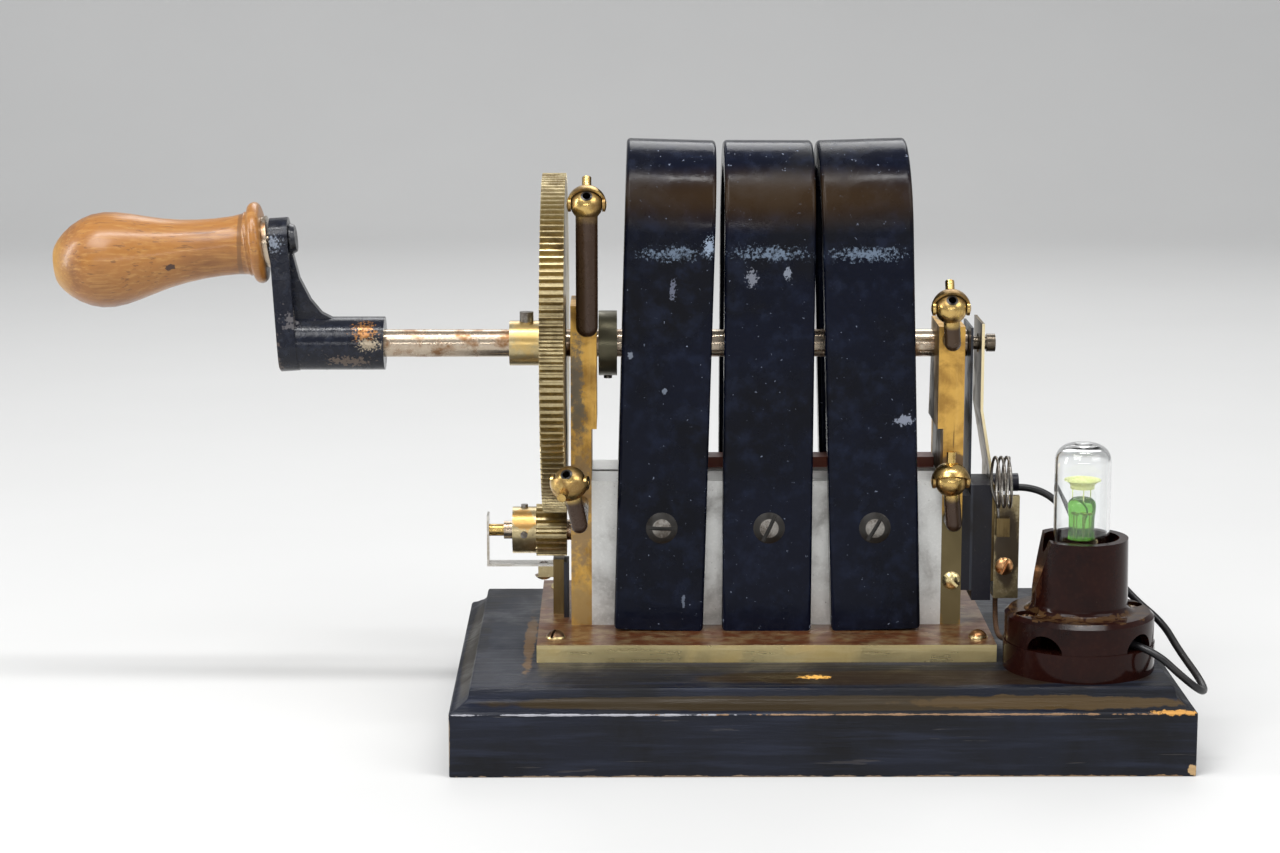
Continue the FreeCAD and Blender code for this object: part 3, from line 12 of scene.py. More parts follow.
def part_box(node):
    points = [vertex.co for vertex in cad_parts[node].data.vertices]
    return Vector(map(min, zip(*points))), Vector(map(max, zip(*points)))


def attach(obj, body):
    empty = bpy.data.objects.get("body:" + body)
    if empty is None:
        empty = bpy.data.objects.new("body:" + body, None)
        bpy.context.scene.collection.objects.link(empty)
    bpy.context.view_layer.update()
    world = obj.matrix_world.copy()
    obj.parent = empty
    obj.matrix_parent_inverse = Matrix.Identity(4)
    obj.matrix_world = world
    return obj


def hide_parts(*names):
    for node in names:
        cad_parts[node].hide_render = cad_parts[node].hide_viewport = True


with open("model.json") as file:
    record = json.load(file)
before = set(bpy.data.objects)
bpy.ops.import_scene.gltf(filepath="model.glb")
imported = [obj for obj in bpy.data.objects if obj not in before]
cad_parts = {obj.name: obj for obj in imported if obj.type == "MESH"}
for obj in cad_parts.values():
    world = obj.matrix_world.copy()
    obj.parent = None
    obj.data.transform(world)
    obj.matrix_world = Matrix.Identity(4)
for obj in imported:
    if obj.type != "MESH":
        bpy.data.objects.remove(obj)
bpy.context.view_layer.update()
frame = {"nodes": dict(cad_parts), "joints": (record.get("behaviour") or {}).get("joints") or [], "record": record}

LOG = logging.getLogger("scene")
MM = 0.001
HAIR = 1e-4

Colour = tuple[float, float, float]
Point = tuple[float, float, float]


class Grain(Enum):
    """The direction in which a surface's fine marks run."""

    NONE = (1.0, 1.0, 1.0)
    ALONG_X = (0.06, 1.0, 1.0)
    ALONG_Y = (1.0, 0.06, 1.0)
    ALONG_Z = (1.0, 1.0, 0.06)


@dataclass(frozen=True)
class Patch:
    """One worn, stained or chipped place on a surface, or a place with painted shade, a painted highlight or a
    painted reflection.

    Attributes:
        centre: Its middle in millimetres, in the row frame.
        reach: Its half sizes in millimetres.
        colour: Its colour.
        ragged: How far noise breaks up its outline, 0 for a clean ellipsoid.
        scale: The size of the break-up, as a noise scale per metre.
        metallic: How metallic the bared place is.
        strength: How fully the place covers what lies under it.
        core: The share of its reach that it covers fully, before it fades out.
    """

    centre: Point
    reach: Point
    colour: Colour
    ragged: float = 1.2
    scale: float = 400.0
    metallic: float | None = None
    strength: float = 1.0
    core: float = 0.82


@dataclass(frozen=True)
class Finish:
    """A surface's look, as the numbers of its procedural material.

    Attributes:
        base: The main colour.
        dark: The colour of the broad stains.
        light: The colour of the fine grain.
        speck: The colour of the small specks and pits.
        metallic: 1 for bare metal.
        rough: The lowest and highest roughness.
        stain: Scale of the stains per metre, and the noise values at which they start and are full.
        grain: Scale of the grain per metre, and how strongly it shows.
        run: The way the grain runs.
        pits: Scale of the specks per metre, their threshold, and how strongly they show.
        bump: The depth of the surface's relief in millimetres.
        coat: The weight and roughness of a clear coat.
        patches: Places that differ from the rest.
        top: The colour and metallic value of faces that look up, where they differ.
        shine: The specular level.
    """

    base: Colour
    dark: Colour
    light: Colour
    speck: Colour
    metallic: float = 0.0
    rough: tuple[float, float] = (0.3, 0.5)
    stain: tuple[float, float, float] = (60.0, 0.45, 0.7)
    grain: tuple[float, float] = (900.0, 0.3)
    run: Grain = Grain.NONE
    pits: tuple[float, float, float] = (1200.0, 0.68, 0.5)
    bump: float = 0.05
    coat: tuple[float, float] = (0.0, 0.1)
    patches: tuple[Patch, ...] = ()
    top: tuple[Colour, float] | None = None
    shine: float = 0.5


class Graph:
    """A small builder of node trees."""

    def __init__(self, material: bpy.types.Material) -> None:
        """Empties the material's tree.

        Args:
            material: The material to fill.
        """
        material.use_nodes = True
        self.tree = material.node_tree
        self.tree.nodes.clear()

    def add(self, kind: str, **settings):
        """Adds a node.

        Args:
            kind: The node's type without its ShaderNode prefix.
            **settings: Properties of the node.

        Returns:
            The new node.
        """
        node = self.tree.nodes.new("ShaderNode" + kind)
        for name, value in settings.items():
            setattr(node, name, value)
        return node

    def feed(self, socket, value) -> None:
        """Links or sets a socket.

        Args:
            socket: The input.
            value: Another node's output, or a plain value.
        """
        if isinstance(value, bpy.types.NodeSocket):
            self.tree.links.new(value, socket)
        else:
            if isinstance(value, tuple) and len(value) == 3 and socket.type == "RGBA":
                value = (*value, 1.0)
            socket.default_value = value

    def place(self):
        """Returns the surface point in the row frame, in metres."""
        return self.add("TexCoord").outputs["Object"]

    def scaled(self, vector, scale: Point, turn: Point = (0.0, 0.0, 0.0)):
        """Returns the vector stretched, after a turn.

        Args:
            vector: The vector output.
            scale: The three factors.
            turn: The turn in radians.
        """
        node = self.add("Mapping")
        self.feed(node.inputs["Vector"], vector)
        self.feed(node.inputs["Scale"], scale)
        self.feed(node.inputs["Rotation"], turn)
        return node.outputs["Vector"]

    def noise(self, vector, scale: float, detail: float = 4.0, rough: float = 0.55, warp: float = 0.0):
        """Returns fractal noise from 0 to 1.

        Args:
            vector: Where it is read.
            scale: Its scale.
            detail: How many finer layers it has.
            rough: How strong those layers are.
            warp: Its distortion.
        """
        node = self.add("TexNoise")
        self.feed(node.inputs["Vector"], vector)
        for name, value in (("Scale", scale), ("Detail", detail), ("Roughness", rough), ("Distortion", warp)):
            self.feed(node.inputs[name], value)
        return node.outputs["Fac"]

    def ranged(self, value, low: float, high: float, to_low: float = 0.0, to_high: float = 1.0):
        """Returns a value mapped smoothly from one range to another.

        Args:
            value: The input.
            low: The input that gives to_low.
            high: The input that gives to_high.
            to_low: The first result.
            to_high: The last result.
        """
        node = self.add("MapRange", interpolation_type="SMOOTHSTEP")
        for name, item in (("Value", value), ("From Min", low), ("From Max", high),
                           ("To Min", to_low), ("To Max", to_high)):
            self.feed(node.inputs[name], item)
        return node.outputs["Result"]

    def maths(self, kind: str, first, second=0.0):
        """Returns a sum, product or other operation on two values.

        Args:
            kind: The operation's name.
            first: The first value.
            second: The second value.
        """
        node = self.add("Math", operation=kind)
        self.feed(node.inputs[0], first)
        self.feed(node.inputs[1], second)
        return node.outputs[0]

    def mixed(self, share, first, second):
        """Returns one colour mixed into another.

        Args:
            share: How much of the second shows.
            first: The first colour.
            second: The second colour.
        """
        node = self.add("Mix", data_type="RGBA")
        self.feed(node.inputs[0], share)
        self.feed(node.inputs[6], first)
        self.feed(node.inputs[7], second)
        return node.outputs[2]

    def blend(self, share, first, second):
        """Returns one number mixed into another.

        Args:
            share: How much of the second shows.
            first: The first number.
            second: The second number.
        """
        node = self.add("Mix", data_type="FLOAT")
        self.feed(node.inputs[0], share)
        self.feed(node.inputs[2], first)
        self.feed(node.inputs[3], second)
        return node.outputs[0]

    def blob(self, place, patch: Patch):
        """Returns the share of a patch at each point.

        Args:
            place: The point output.
            patch: The patch.
        """
        off = self.add("VectorMath", operation="SUBTRACT")
        self.feed(off.inputs[0], place)
        self.feed(off.inputs[1], tuple(value * MM for value in patch.centre))
        size = self.add("VectorMath", operation="DIVIDE")
        self.feed(size.inputs[0], off.outputs[0])
        self.feed(size.inputs[1], tuple(value * MM for value in patch.reach))
        away = self.add("VectorMath", operation="LENGTH")
        self.feed(away.inputs[0], size.outputs[0])
        rough = self.noise(place, patch.scale, 5.0, 0.65)
        edge = self.maths("MULTIPLY_ADD", rough, patch.ragged)
        edge.node.inputs[2].default_value = -0.5 * patch.ragged
        both = self.maths("ADD", away.outputs["Value"], edge)
        return self.ranged(both, 1.0, patch.core, 0.0, patch.strength)


class Paint:
    """Makes one material from a finish.

    Attributes:
        GRAIN_SPAN: The noise values at which the grain starts and is full.
        SPOT_EDGE: The width of a speck's soft edge, in noise values.
        UP_SPAN: The upward parts of a normal at which the top's colour starts and is full.
        TOP_BREAK: The scale per metre of the noise that breaks up the top's colour.
        TOP_SPAN: The noise values, and the shares of the top's colour that they give.
        STREAK_SPAN: The noise values at which the top's streaks start and are full.
        STREAK_SHADE: How dark the streaks are.
        WEAR_SPAN: The values of grain and stain together that give the lowest and highest roughness.
        SPOT_DEPTH: How deep the specks are beside the grain.
        RELIEF: The strength of the relief.
        DUST_LIFT: How much lighter dusty glass is.
        GLASS_BEND: The refractive index of glass.
    """

    GRAIN_SPAN = (0.45, 0.75)
    SPOT_EDGE = 0.05
    UP_SPAN = (0.6, 0.85)
    TOP_BREAK = 220.0
    TOP_SPAN = (0.25, 0.6, 0.75, 1.0)
    STREAK_SPAN = (0.4, 0.7)
    STREAK_SHADE = 0.55
    WEAR_SPAN = (0.15, 0.85)
    SPOT_DEPTH = 0.8
    RELIEF = 0.5
    DUST_LIFT = 1.08
    GLASS_BEND = 1.45

    @staticmethod
    def surface(name: str, finish: Finish) -> bpy.types.Material:
        """Builds an opaque material.

        Args:
            name: The material's name.
            finish: Its numbers.

        Returns:
            The material.
        """
        material = bpy.data.materials.new(name)
        graph = Graph(material)
        place = graph.place()
        stain = graph.ranged(graph.noise(place, finish.stain[0], 6.0, 0.6, 0.4), *finish.stain[1:])
        along = graph.scaled(place, finish.run.value)
        fine = graph.noise(along, finish.grain[0], 5.0, 0.6)
        grain = graph.ranged(fine, *Paint.GRAIN_SPAN, 0.0, finish.grain[1])
        spots = graph.ranged(graph.noise(along, finish.pits[0], 3.0, 0.6), finish.pits[1],
                             finish.pits[1] + Paint.SPOT_EDGE, 0.0, finish.pits[2])
        colour = graph.mixed(stain, finish.base, finish.dark)
        colour = graph.mixed(grain, colour, finish.light)
        colour = graph.mixed(spots, colour, finish.speck)
        metal = finish.metallic
        if finish.top is not None:
            normal = graph.add("SeparateXYZ")
            graph.feed(normal.inputs[0], graph.add("NewGeometry").outputs["Normal"])
            share = graph.ranged(normal.outputs["Z"], *Paint.UP_SPAN)
            broken = graph.ranged(graph.noise(place, Paint.TOP_BREAK, 6.0, 0.65), *Paint.TOP_SPAN)
            share = graph.maths("MULTIPLY", share, broken)
            shaded = tuple(Paint.STREAK_SHADE * part for part in finish.top[0])
            streak = graph.mixed(graph.ranged(fine, *Paint.STREAK_SPAN), finish.top[0], shaded)
            colour = graph.mixed(share, colour, streak)
            metal = graph.blend(share, metal, finish.top[1])
        for patch in finish.patches:
            share = graph.blob(place, patch)
            colour = graph.mixed(share, colour, patch.colour)
            if patch.metallic is not None:
                metal = graph.blend(share, metal, patch.metallic)
        wear = graph.maths("ADD", graph.maths("MULTIPLY", fine, 0.6), graph.maths("MULTIPLY", stain, 0.5))
        rough = graph.ranged(wear, *Paint.WEAR_SPAN, *finish.rough)
        height = graph.maths("SUBTRACT", fine, graph.maths("MULTIPLY", spots, Paint.SPOT_DEPTH))
        bump = graph.add("Bump")
        graph.feed(bump.inputs["Height"], height)
        bump.inputs["Strength"].default_value = Paint.RELIEF
        bump.inputs["Distance"].default_value = finish.bump * MM
        shader = graph.add("BsdfPrincipled")
        graph.feed(shader.inputs["Base Color"], colour)
        graph.feed(shader.inputs["Metallic"], metal)
        graph.feed(shader.inputs["Roughness"], rough)
        graph.feed(shader.inputs["Normal"], bump.outputs["Normal"])
        shader.inputs["Specular IOR Level"].default_value = finish.shine
        shader.inputs["Coat Weight"].default_value = finish.coat[0]
        shader.inputs["Coat Roughness"].default_value = finish.coat[1]
        out = graph.add("OutputMaterial")
        graph.feed(out.inputs["Surface"], shader.outputs["BSDF"])
        return material

    @staticmethod
    def glass(name: str, tint: Colour, rough: float, clear: float = 1.0) -> bpy.types.Material:
        """Builds a clear material with a faint film of dust.

        Args:
            name: The material's name.
            tint: The colour of the glass.
            rough: Its roughness.
            clear: How much of the light passes.

        Returns:
            The material.
        """
        material = bpy.data.materials.new(name)
        graph = Graph(material)
        place = graph.place()
        film = graph.ranged(graph.noise(place, 300.0, 5.0, 0.6), 0.45, 0.8, rough, rough + 0.08)
        shader = graph.add("BsdfPrincipled")
        dusty = tuple(min(1.0, Paint.DUST_LIFT * part) for part in tint)
        graph.feed(shader.inputs["Base Color"], graph.mixed(graph.noise(place, 90.0), tint, dusty))
        graph.feed(shader.inputs["Roughness"], film)
        shader.inputs["Transmission Weight"].default_value = clear
        shader.inputs["IOR"].default_value = Paint.GLASS_BEND
        out = graph.add("OutputMaterial")
        graph.feed(out.inputs["Surface"], shader.outputs["BSDF"])
        return material


# Middles of the three bare oil holes, just under the ball's skin and deeper down, and the near-black painted shade
# inside them.
OIL_HOLES = ((-64.3, -17.75, 153.1), (-69.65, -40.7, 78.8), (38.0, -17.75, 123.8))
OIL_HOLES_DEEP = ((-64.3, -16.1, 151.7), (-69.2, -39.1, 77.4), (38.0, -16.1, 122.4))
HOLE_SHADE = (0.003, 0.002, 0.002)
# Places along the board and half widths of the pale broken marks where the magnets start to bend, which are scuffs
# and in part a painted highlight.
MAGNET_BEND_SCUFFS_AND_HIGHLIGHT = ((-40.0, 8.0), (-13.0, 10.0), (14.0, 10.0))
# Depths of the slot floors in the front and the rear magnet screws, where the floors are painted near black as
# shade.
SHADED_SLOT_FLOORS = (-15.85, 32.65)

FINISHES: dict[str, Finish] = {
    "baseboard_paint": Finish(
        (0.0045, 0.0062, 0.0135), (0.003, 0.0032, 0.005), (0.014, 0.018, 0.034), (0.045, 0.040, 0.040),
        rough=(0.30, 0.62), stain=(30.0, 0.4, 0.65), grain=(430.0, 0.85), run=Grain.ALONG_X,
        pits=(620.0, 0.66, 0.6), bump=0.9, shine=0.24, patches=(
            Patch((0, -61.2, 19.6), (99, 4.0, 2.2), (0.026, 0.017, 0.007), 0.5, 110.0),
            Patch((62, -61.0, 19.8), (44, 3.6, 2.0), (0.050, 0.030, 0.010), 1.2, 160.0),
            Patch((-97.6, 0, 19.6), (4.0, 62, 2.2), (0.022, 0.019, 0.015), 0.6, 110.0),
            Patch((30, -49, 23.7), (72, 8.5, 1.4), (0.014, 0.007, 0.003), 0.7, 70.0),
            Patch((-86, 0, 23.7), (8, 56, 1.4), (0.010, 0.013, 0.022), 0.8, 90.0),
            Patch((-81.0, -8, 23.7), (1.8, 36, 1.0), (0.120, 0.066, 0.022), 2.0, 200.0, None, 0.7),
            Patch((-1.3, -48.3, 23.7), (3.8, 1.9, 1.0), (0.72, 0.38, 0.08), 3.6, 900.0),
            Patch((-62, -65.0, 17.5), (40, 0.6, 0.30), (0.30, 0.30, 0.33), 2.6, 260.0),
            Patch((30, -65.0, 17.55), (60, 0.5, 0.26), (0.22, 0.13, 0.07), 3.4, 300.0),
            Patch((95, -64.4, 17.8), (7.0, 1.2, 0.75), (0.50, 0.25, 0.06), 2.6, 500.0),
            Patch((100.4, -64.6, 2.0), (1.5, 1.2, 1.6), (0.50, 0.33, 0.16), 2.6, 500.0),
            Patch((-40, -65.0, 0.1), (60, 0.8, 0.42), (0.24, 0.17, 0.11), 3.6, 300.0),
            Patch((60, -65.0, 0.1), (42, 0.8, 0.42), (0.26, 0.16, 0.08), 3.6, 300.0),
            Patch((-101.5, -64.8, 9.0), (0.35, 0.8, 7.5), (0.22, 0.17, 0.12), 3.0, 400.0),
            Patch((-94.4, -58.0, 20.8), (1.3, 1.5, 1.2), (0.50, 0.30, 0.07), 3.0, 700.0),
            Patch((12, -57.4, 22.4), (84, 0.6, 0.5), (0.34, 0.17, 0.05), 3.8, 260.0))),
    "plate_brass": Finish(
        (0.80, 0.66, 0.34), (0.62, 0.47, 0.20), (0.93, 0.82, 0.52), (0.16, 0.10, 0.05), metallic=1.0,
        rough=(0.26, 0.5), stain=(60.0, 0.45, 0.75), grain=(700.0, 0.4), run=Grain.ALONG_X,
        pits=(900.0, 0.70, 0.8), bump=0.05, top=((0.125, 0.040, 0.012), 0.35), patches=(
            Patch((-73.3, -23.0, 30.2), (3.3, 3.3, 2.4), (0.11, 0.060, 0.030), 0.7, 700.0, 0.8),
            Patch((46.5, -23.0, 30.2), (3.3, 3.3, 2.4), (0.22, 0.105, 0.040), 0.7, 700.0, 0.8),
            Patch((55.4, -9.0, 45.7), (3.2, 2.2, 3.2), (0.52, 0.27, 0.12), 0.6, 900.0, 1.0))),
    "bracket_brass": Finish(
        (0.60, 0.355, 0.085), (0.36, 0.20, 0.05), (0.74, 0.50, 0.17), (0.10, 0.065, 0.035), metallic=0.9,
        rough=(0.34, 0.55), stain=(110.0, 0.40, 0.62), grain=(800.0, 0.3), run=Grain.ALONG_Z,
        pits=(760.0, 0.66, 0.7), bump=0.08, patches=(
            Patch((-66.4, -8.1, 62.0), (5.0, 3.0, 26.0), (0.27, 0.18, 0.09), 2.2, 420.0, 0.7, 0.9, 0.4),
            Patch((-66.4, -8.1, 34.0), (5.0, 3.0, 9.0), (0.40, 0.27, 0.11), 1.2, 360.0, 0.9, 0.9, 0.4),
            Patch((-67.6, -8.1, 100.5), (2.6, 3.0, 14.0), (0.12, 0.115, 0.10), 2.4, 520.0, 0.5, 0.85, 0.4),
            Patch((-67.0, -8.1, 90.0), (3.0, 3.0, 9.0), (0.15, 0.125, 0.085), 2.4, 520.0, 0.5, 0.85, 0.4),
            Patch((40.2, -8.1, 45.0), (5.0, 3.0, 22.0), (0.15, 0.115, 0.050), 0.3, 200.0, 0.6),
            Patch((40.2, -8.1, 73.0), (5.0, 3.0, 7.0), (0.16, 0.10, 0.05), 0.8, 260.0, 0.6),
            # The brackets painted darker on their sides, back from the front faces: painted shade.
            Patch((40.2, 10.0, 70.0), (7.0, 14.0, 60.0), (0.11, 0.085, 0.045), 0.2, 120.0, 0.5),
            Patch((-66.2, 10.0, 70.0), (7.0, 14.0, 60.0), (0.14, 0.10, 0.055), 0.2, 120.0, 0.5))),
    "oiler_brass": Finish(
        (0.56, 0.38, 0.13), (0.27, 0.165, 0.06), (0.72, 0.57, 0.29), (0.12, 0.07, 0.03), metallic=1.0,
        rough=(0.2, 0.4), stain=(220.0, 0.42, 0.62), grain=(1500.0, 0.25), pits=(1500.0, 0.64, 0.6),
        bump=0.03,
        patches=(
            Patch((-64.3, -15.0, 124.0), (13.0, 13.0, 27.0), (0.042, 0.022, 0.012), 0.06, 300.0, 0.35),
            Patch((-66.4, -31.0, 62.5), (10.0, 18.0, 12.0), (0.042, 0.022, 0.012), 0.06, 300.0, 0.35),
            Patch((38.5, -12.0, 110.0), (10.0, 10.0, 8.4), (0.050, 0.028, 0.014), 0.06, 300.0, 0.35),
            Patch((39.6, -12.0, 58.5), (10.0, 10.0, 11.6), (0.042, 0.022, 0.012), 0.06, 300.0, 0.35),
            # Painted shade inside the oil holes, near the skin and deeper down.
            *(Patch(centre, (1.95, 1.95, 1.95), HOLE_SHADE, 0.0, 100.0, 0.0) for centre in OIL_HOLES),
            *(Patch(centre, (1.9, 1.9, 1.9), HOLE_SHADE, 0.0, 100.0, 0.0) for centre in OIL_HOLES_DEEP))),
    "magnet_enamel": Finish(
        (0.0018, 0.0030, 0.0095), (0.0010, 0.0014, 0.0036), (0.008, 0.012, 0.028), (0.17, 0.20, 0.27),
        rough=(0.12, 0.40), stain=(24.0, 0.42, 0.66), grain=(210.0, 0.6), pits=(760.0, 0.675, 0.8), bump=0.16,
        shine=0.12, patches=(
            # A brown band over the arches' tops: a painted reflection.
            Patch((-12.0, -11.0, 152.0), (90.0, 12.0, 11.0), (0.026, 0.014, 0.005), 0.25, 60.0, None,
                  0.9, 0.2),
            # Pale broken marks at the magnets' bend: scuffs and in part a painted highlight.
            *(Patch((x, -14.6, 137.0), (wide, 4.0, 2.0), (0.20, 0.26, 0.35), 5.4, 1300.0, None, 0.55, 0.2)
              for x, wide in MAGNET_BEND_SCUFFS_AND_HIGHLIGHT),
            Patch((-18.0, -15.8, 130.2), (1.5, 1.2, 2.0), (0.14, 0.15, 0.18), 4.6, 1500.0),
            Patch((-8.0, -15.8, 131.6), (0.9, 1.2, 1.6), (0.16, 0.18, 0.22), 3.8, 1100.0),
            Patch((-40.2, -15.8, 126.9), (0.9, 1.2, 2.4), (0.10, 0.11, 0.15), 4.4, 1500.0),
            Patch((25.5, -15.8, 89.8), (2.6, 1.0, 1.5), (0.18, 0.20, 0.25), 3.8, 1000.0),
            Patch((-52.0, -15.8, 108.5), (0.8, 1.0, 1.0), (0.14, 0.16, 0.20), 3.4, 1000.0),
            Patch((-42.5, -15.8, 98.0), (0.7, 1.0, 0.9), (0.12, 0.14, 0.18), 3.0, 1000.0),
            # A pale broken mark in the band at the bend: a scuff and in part a painted highlight.
            Patch((-30.0, -15.8, 139.0), (1.2, 3.0, 2.4), (0.22, 0.27, 0.35), 5.2, 1700.0),
            Patch((-37.0, -15.8, 37.5), (0.5, 1.0, 2.0), (0.10, 0.12, 0.16), 3.4, 900.0))),
    "pole_iron": Finish(
        (0.62, 0.62, 0.60), (0.40, 0.39, 0.37), (0.80, 0.80, 0.78), (0.10, 0.08, 0.06), metallic=0.75,
        rough=(0.35, 0.6), stain=(80.0, 0.45, 0.75), grain=(1300.0, 0.4), pits=(1100.0, 0.68, 0.8),
        bump=0.06),
    "shaft_steel": Finish(
        (0.46, 0.38, 0.29), (0.22, 0.11, 0.045), (0.72, 0.66, 0.56), (0.10, 0.05, 0.025), metallic=1.0,
        rough=(0.2, 0.38), stain=(110.0, 0.45, 0.66), grain=(1300.0, 0.3), pits=(1000.0, 0.68, 0.8),
        bump=0.03,
        patches=(
            Patch((-147.6, 8.4, 138.7), (3.6, 9.0, 9.0), (0.008, 0.009, 0.014), 0.0, 300.0, 0.0),
            Patch((55.0, 8.4, 108.3), (14.0, 8.0, 8.0), (0.10, 0.085, 0.065), 0.2, 300.0, 0.9, 0.9))),
    "screw_steel": Finish(
        (0.25, 0.235, 0.215), (0.12, 0.105, 0.09), (0.42, 0.41, 0.38), (0.05, 0.042, 0.035), metallic=1.0,
        rough=(0.28, 0.5), stain=(200.0, 0.42, 0.65), grain=(1600.0, 0.4), pits=(1300.0, 0.64, 0.7),
        bump=0.05,
        # The slot floors painted near black: painted shade.
        patches=tuple(
            Patch((-13.0, y, 58.7), (200.0, 0.72, 60.0), (0.010, 0.008, 0.006), 0.0, 100.0, 0.2, 1.0, 0.9)
            for y in SHADED_SLOT_FLOORS)),
    "gear_metal": Finish(
        (0.44, 0.36, 0.20), (0.20, 0.15, 0.075), (0.68, 0.60, 0.40), (0.08, 0.06, 0.035), metallic=1.0,
        rough=(0.28, 0.48), stain=(90.0, 0.45, 0.68), grain=(1200.0, 0.4), pits=(1100.0, 0.67, 0.7),
        bump=0.04,
        patches=(
            Patch((-82.0, 4.4, 110.3), (6.0, 8.0, 7.0), (0.60, 0.40, 0.13), 1.6, 420.0, 1.0, 0.7, 0.4),
            Patch((-83.0, 2.0, 57.4), (3.6, 7.0, 3.4), (0.50, 0.27, 0.07), 2.0, 420.0, 1.0, 0.8),
            Patch((-58.5, 8.4, 108.3), (6.0, 15.0, 15.0), (0.085, 0.078, 0.052), 0.2, 200.0, 1.0),
            Patch((56.0, -5.0, 51.0), (5.5, 5.0, 17.5), (0.050, 0.034, 0.018), 0.3, 300.0, 0.4))),
    "crank_enamel": Finish(
        (0.0035, 0.0048, 0.011), (0.006, 0.0065, 0.010), (0.014, 0.018, 0.032), (0.10, 0.085, 0.08),
        rough=(0.14, 0.36), stain=(90.0, 0.5, 0.75), grain=(500.0, 0.6), pits=(760.0, 0.69, 0.8), bump=0.18,
        shine=0.3, patches=(
            Patch((-128.4, 0.9, 113.2), (3.4, 4.0, 3.4), (0.30, 0.13, 0.035), 4.6, 1300.0, 0.4, 0.9, 0.5),
            Patch((-127.0, 0.9, 109.0), (3.4, 3.6, 1.8), (0.34, 0.28, 0.20), 4.8, 1500.0, 0.4, 0.9, 0.5),
            Patch((-133.0, 0.9, 103.6), (6.0, 3.0, 1.8), (0.10, 0.075, 0.06), 4.0, 800.0),
            Patch((-149.6, 3.0, 116.0), (2.2, 3.5, 3.0), (0.085, 0.08, 0.085), 4.2, 800.0),
            Patch((-153.2, 5.0, 104.0), (1.2, 5.0, 12.0), (0.075, 0.06, 0.055), 3.8, 700.0),
            Patch((-154.0, 3.0, 138.0), (2.4, 3.0, 2.4), (0.20, 0.23, 0.28), 5.2, 1500.0, None, 0.9, 0.5))),
    "handle_wood": Finish(
        (0.31, 0.128, 0.026), (0.17, 0.062, 0.015), (0.42, 0.215, 0.060), (0.105, 0.040, 0.014),
        rough=(0.30, 0.48), stain=(30.0, 0.40, 0.70), grain=(1100.0, 0.8), run=Grain.ALONG_X,
        pits=(1500.0, 0.60, 0.6), bump=0.05, shine=0.4, coat=(0.25, 0.18), patches=(
            Patch((-216.0, 8.4, 131.0), (9.0, 16.0, 13.0), (0.50, 0.28, 0.05), 0.8, 60.0, None, 0.6, 0.2),
            Patch((-196.0, 4.0, 117.0), (26.0, 16.0, 8.5), (0.17, 0.062, 0.018), 0.6, 60.0, None, 0.75, 0.2),
            Patch((-163.4, 8.4, 137.0), (1.1, 12.0, 14.0), (0.16, 0.070, 0.022), 0.4, 300.0, None, 0.8),
            Patch((-183.0, 0.0, 131.5), (1.6, 5.0, 1.0), (0.05, 0.02, 0.010), 2.6, 600.0))),
    "bakelite": Finish(
        (0.0135, 0.0030, 0.0020), (0.0065, 0.0018, 0.0015), (0.028, 0.0085, 0.0045), (0.10, 0.062, 0.040),
        rough=(0.10, 0.22), stain=(50.0, 0.42, 0.7), grain=(700.0, 0.35), pits=(1300.0, 0.72, 0.6), bump=0.03,
        shine=0.13, patches=(
            Patch((73.0, -36.0, 40.2), (20.0, 20.0, 0.9), (0.075, 0.040, 0.016), 3.0, 420.0, None, 0.6),
            Patch((60.0, -36.0, 52.0), (2.2, 8.0, 9.0), (0.045, 0.016, 0.007), 2.0, 300.0, None, 0.6))),
    "ebonite": Finish(
        (0.0065, 0.0065, 0.012), (0.012, 0.009, 0.008), (0.018, 0.017, 0.022), (0.06, 0.05, 0.04),
        rough=(0.35, 0.6), bump=0.05, shine=0.3),
    "fibre": Finish(
        (0.20, 0.045, 0.022), (0.11, 0.025, 0.014), (0.28, 0.08, 0.04), (0.05, 0.02, 0.01),
        rough=(0.4, 0.65), grain=(900.0, 0.5), run=Grain.ALONG_X, bump=0.06),
    "dark_spring": Finish(
        (0.045, 0.048, 0.058), (0.03, 0.026, 0.022), (0.10, 0.11, 0.125), (0.07, 0.04, 0.02), metallic=1.0,
        rough=(0.3, 0.5), grain=(1200.0, 0.4), run=Grain.ALONG_Z, bump=0.03),
    "bright_spring": Finish(
        (0.62, 0.60, 0.56), (0.36, 0.31, 0.24), (0.82, 0.81, 0.78), (0.12, 0.08, 0.05), metallic=1.0,
        rough=(0.2, 0.38), grain=(1300.0, 0.35), run=Grain.ALONG_X, bump=0.02),
    "leaf_brass": Finish(
        (0.15, 0.105, 0.045), (0.07, 0.045, 0.022), (0.26, 0.20, 0.10), (0.05, 0.03, 0.015), metallic=1.0,
        rough=(0.3, 0.5), stain=(100.0, 0.45, 0.7), grain=(1200.0, 0.35), run=Grain.ALONG_Z, bump=0.03,
        patches=(
            Patch((56.0, -1.5, 88.0), (14.0, 0.5, 60.0), (0.80, 0.68, 0.42), 0.2, 300.0, 1.0),)),
    "silk_winding": Finish(
        (0.06, 0.075, 0.035), (0.035, 0.04, 0.02), (0.11, 0.13, 0.06), (0.02, 0.02, 0.01),
        rough=(0.6, 0.85), grain=(2600.0, 0.9), run=Grain.ALONG_X, bump=0.25),
    "cable_rubber": Finish(
        (0.0055, 0.0055, 0.0065), (0.010, 0.008, 0.007), (0.022, 0.020, 0.020), (0.06, 0.05, 0.04),
        rough=(0.3, 0.5), bump=0.04, shine=0.4),
    "wire_cotton": Finish(
        (0.055, 0.026, 0.012), (0.030, 0.014, 0.008), (0.16, 0.075, 0.028), (0.02, 0.01, 0.006),
        rough=(0.7, 0.9), grain=(2200.0, 0.8), bump=0.15, shine=0.3),
    "lamp_metal": Finish(
        (0.62, 0.42, 0.16), (0.42, 0.20, 0.07), (0.82, 0.62, 0.30), (0.12, 0.07, 0.03), metallic=1.0,
        rough=(0.2, 0.4), bump=0.03),
}


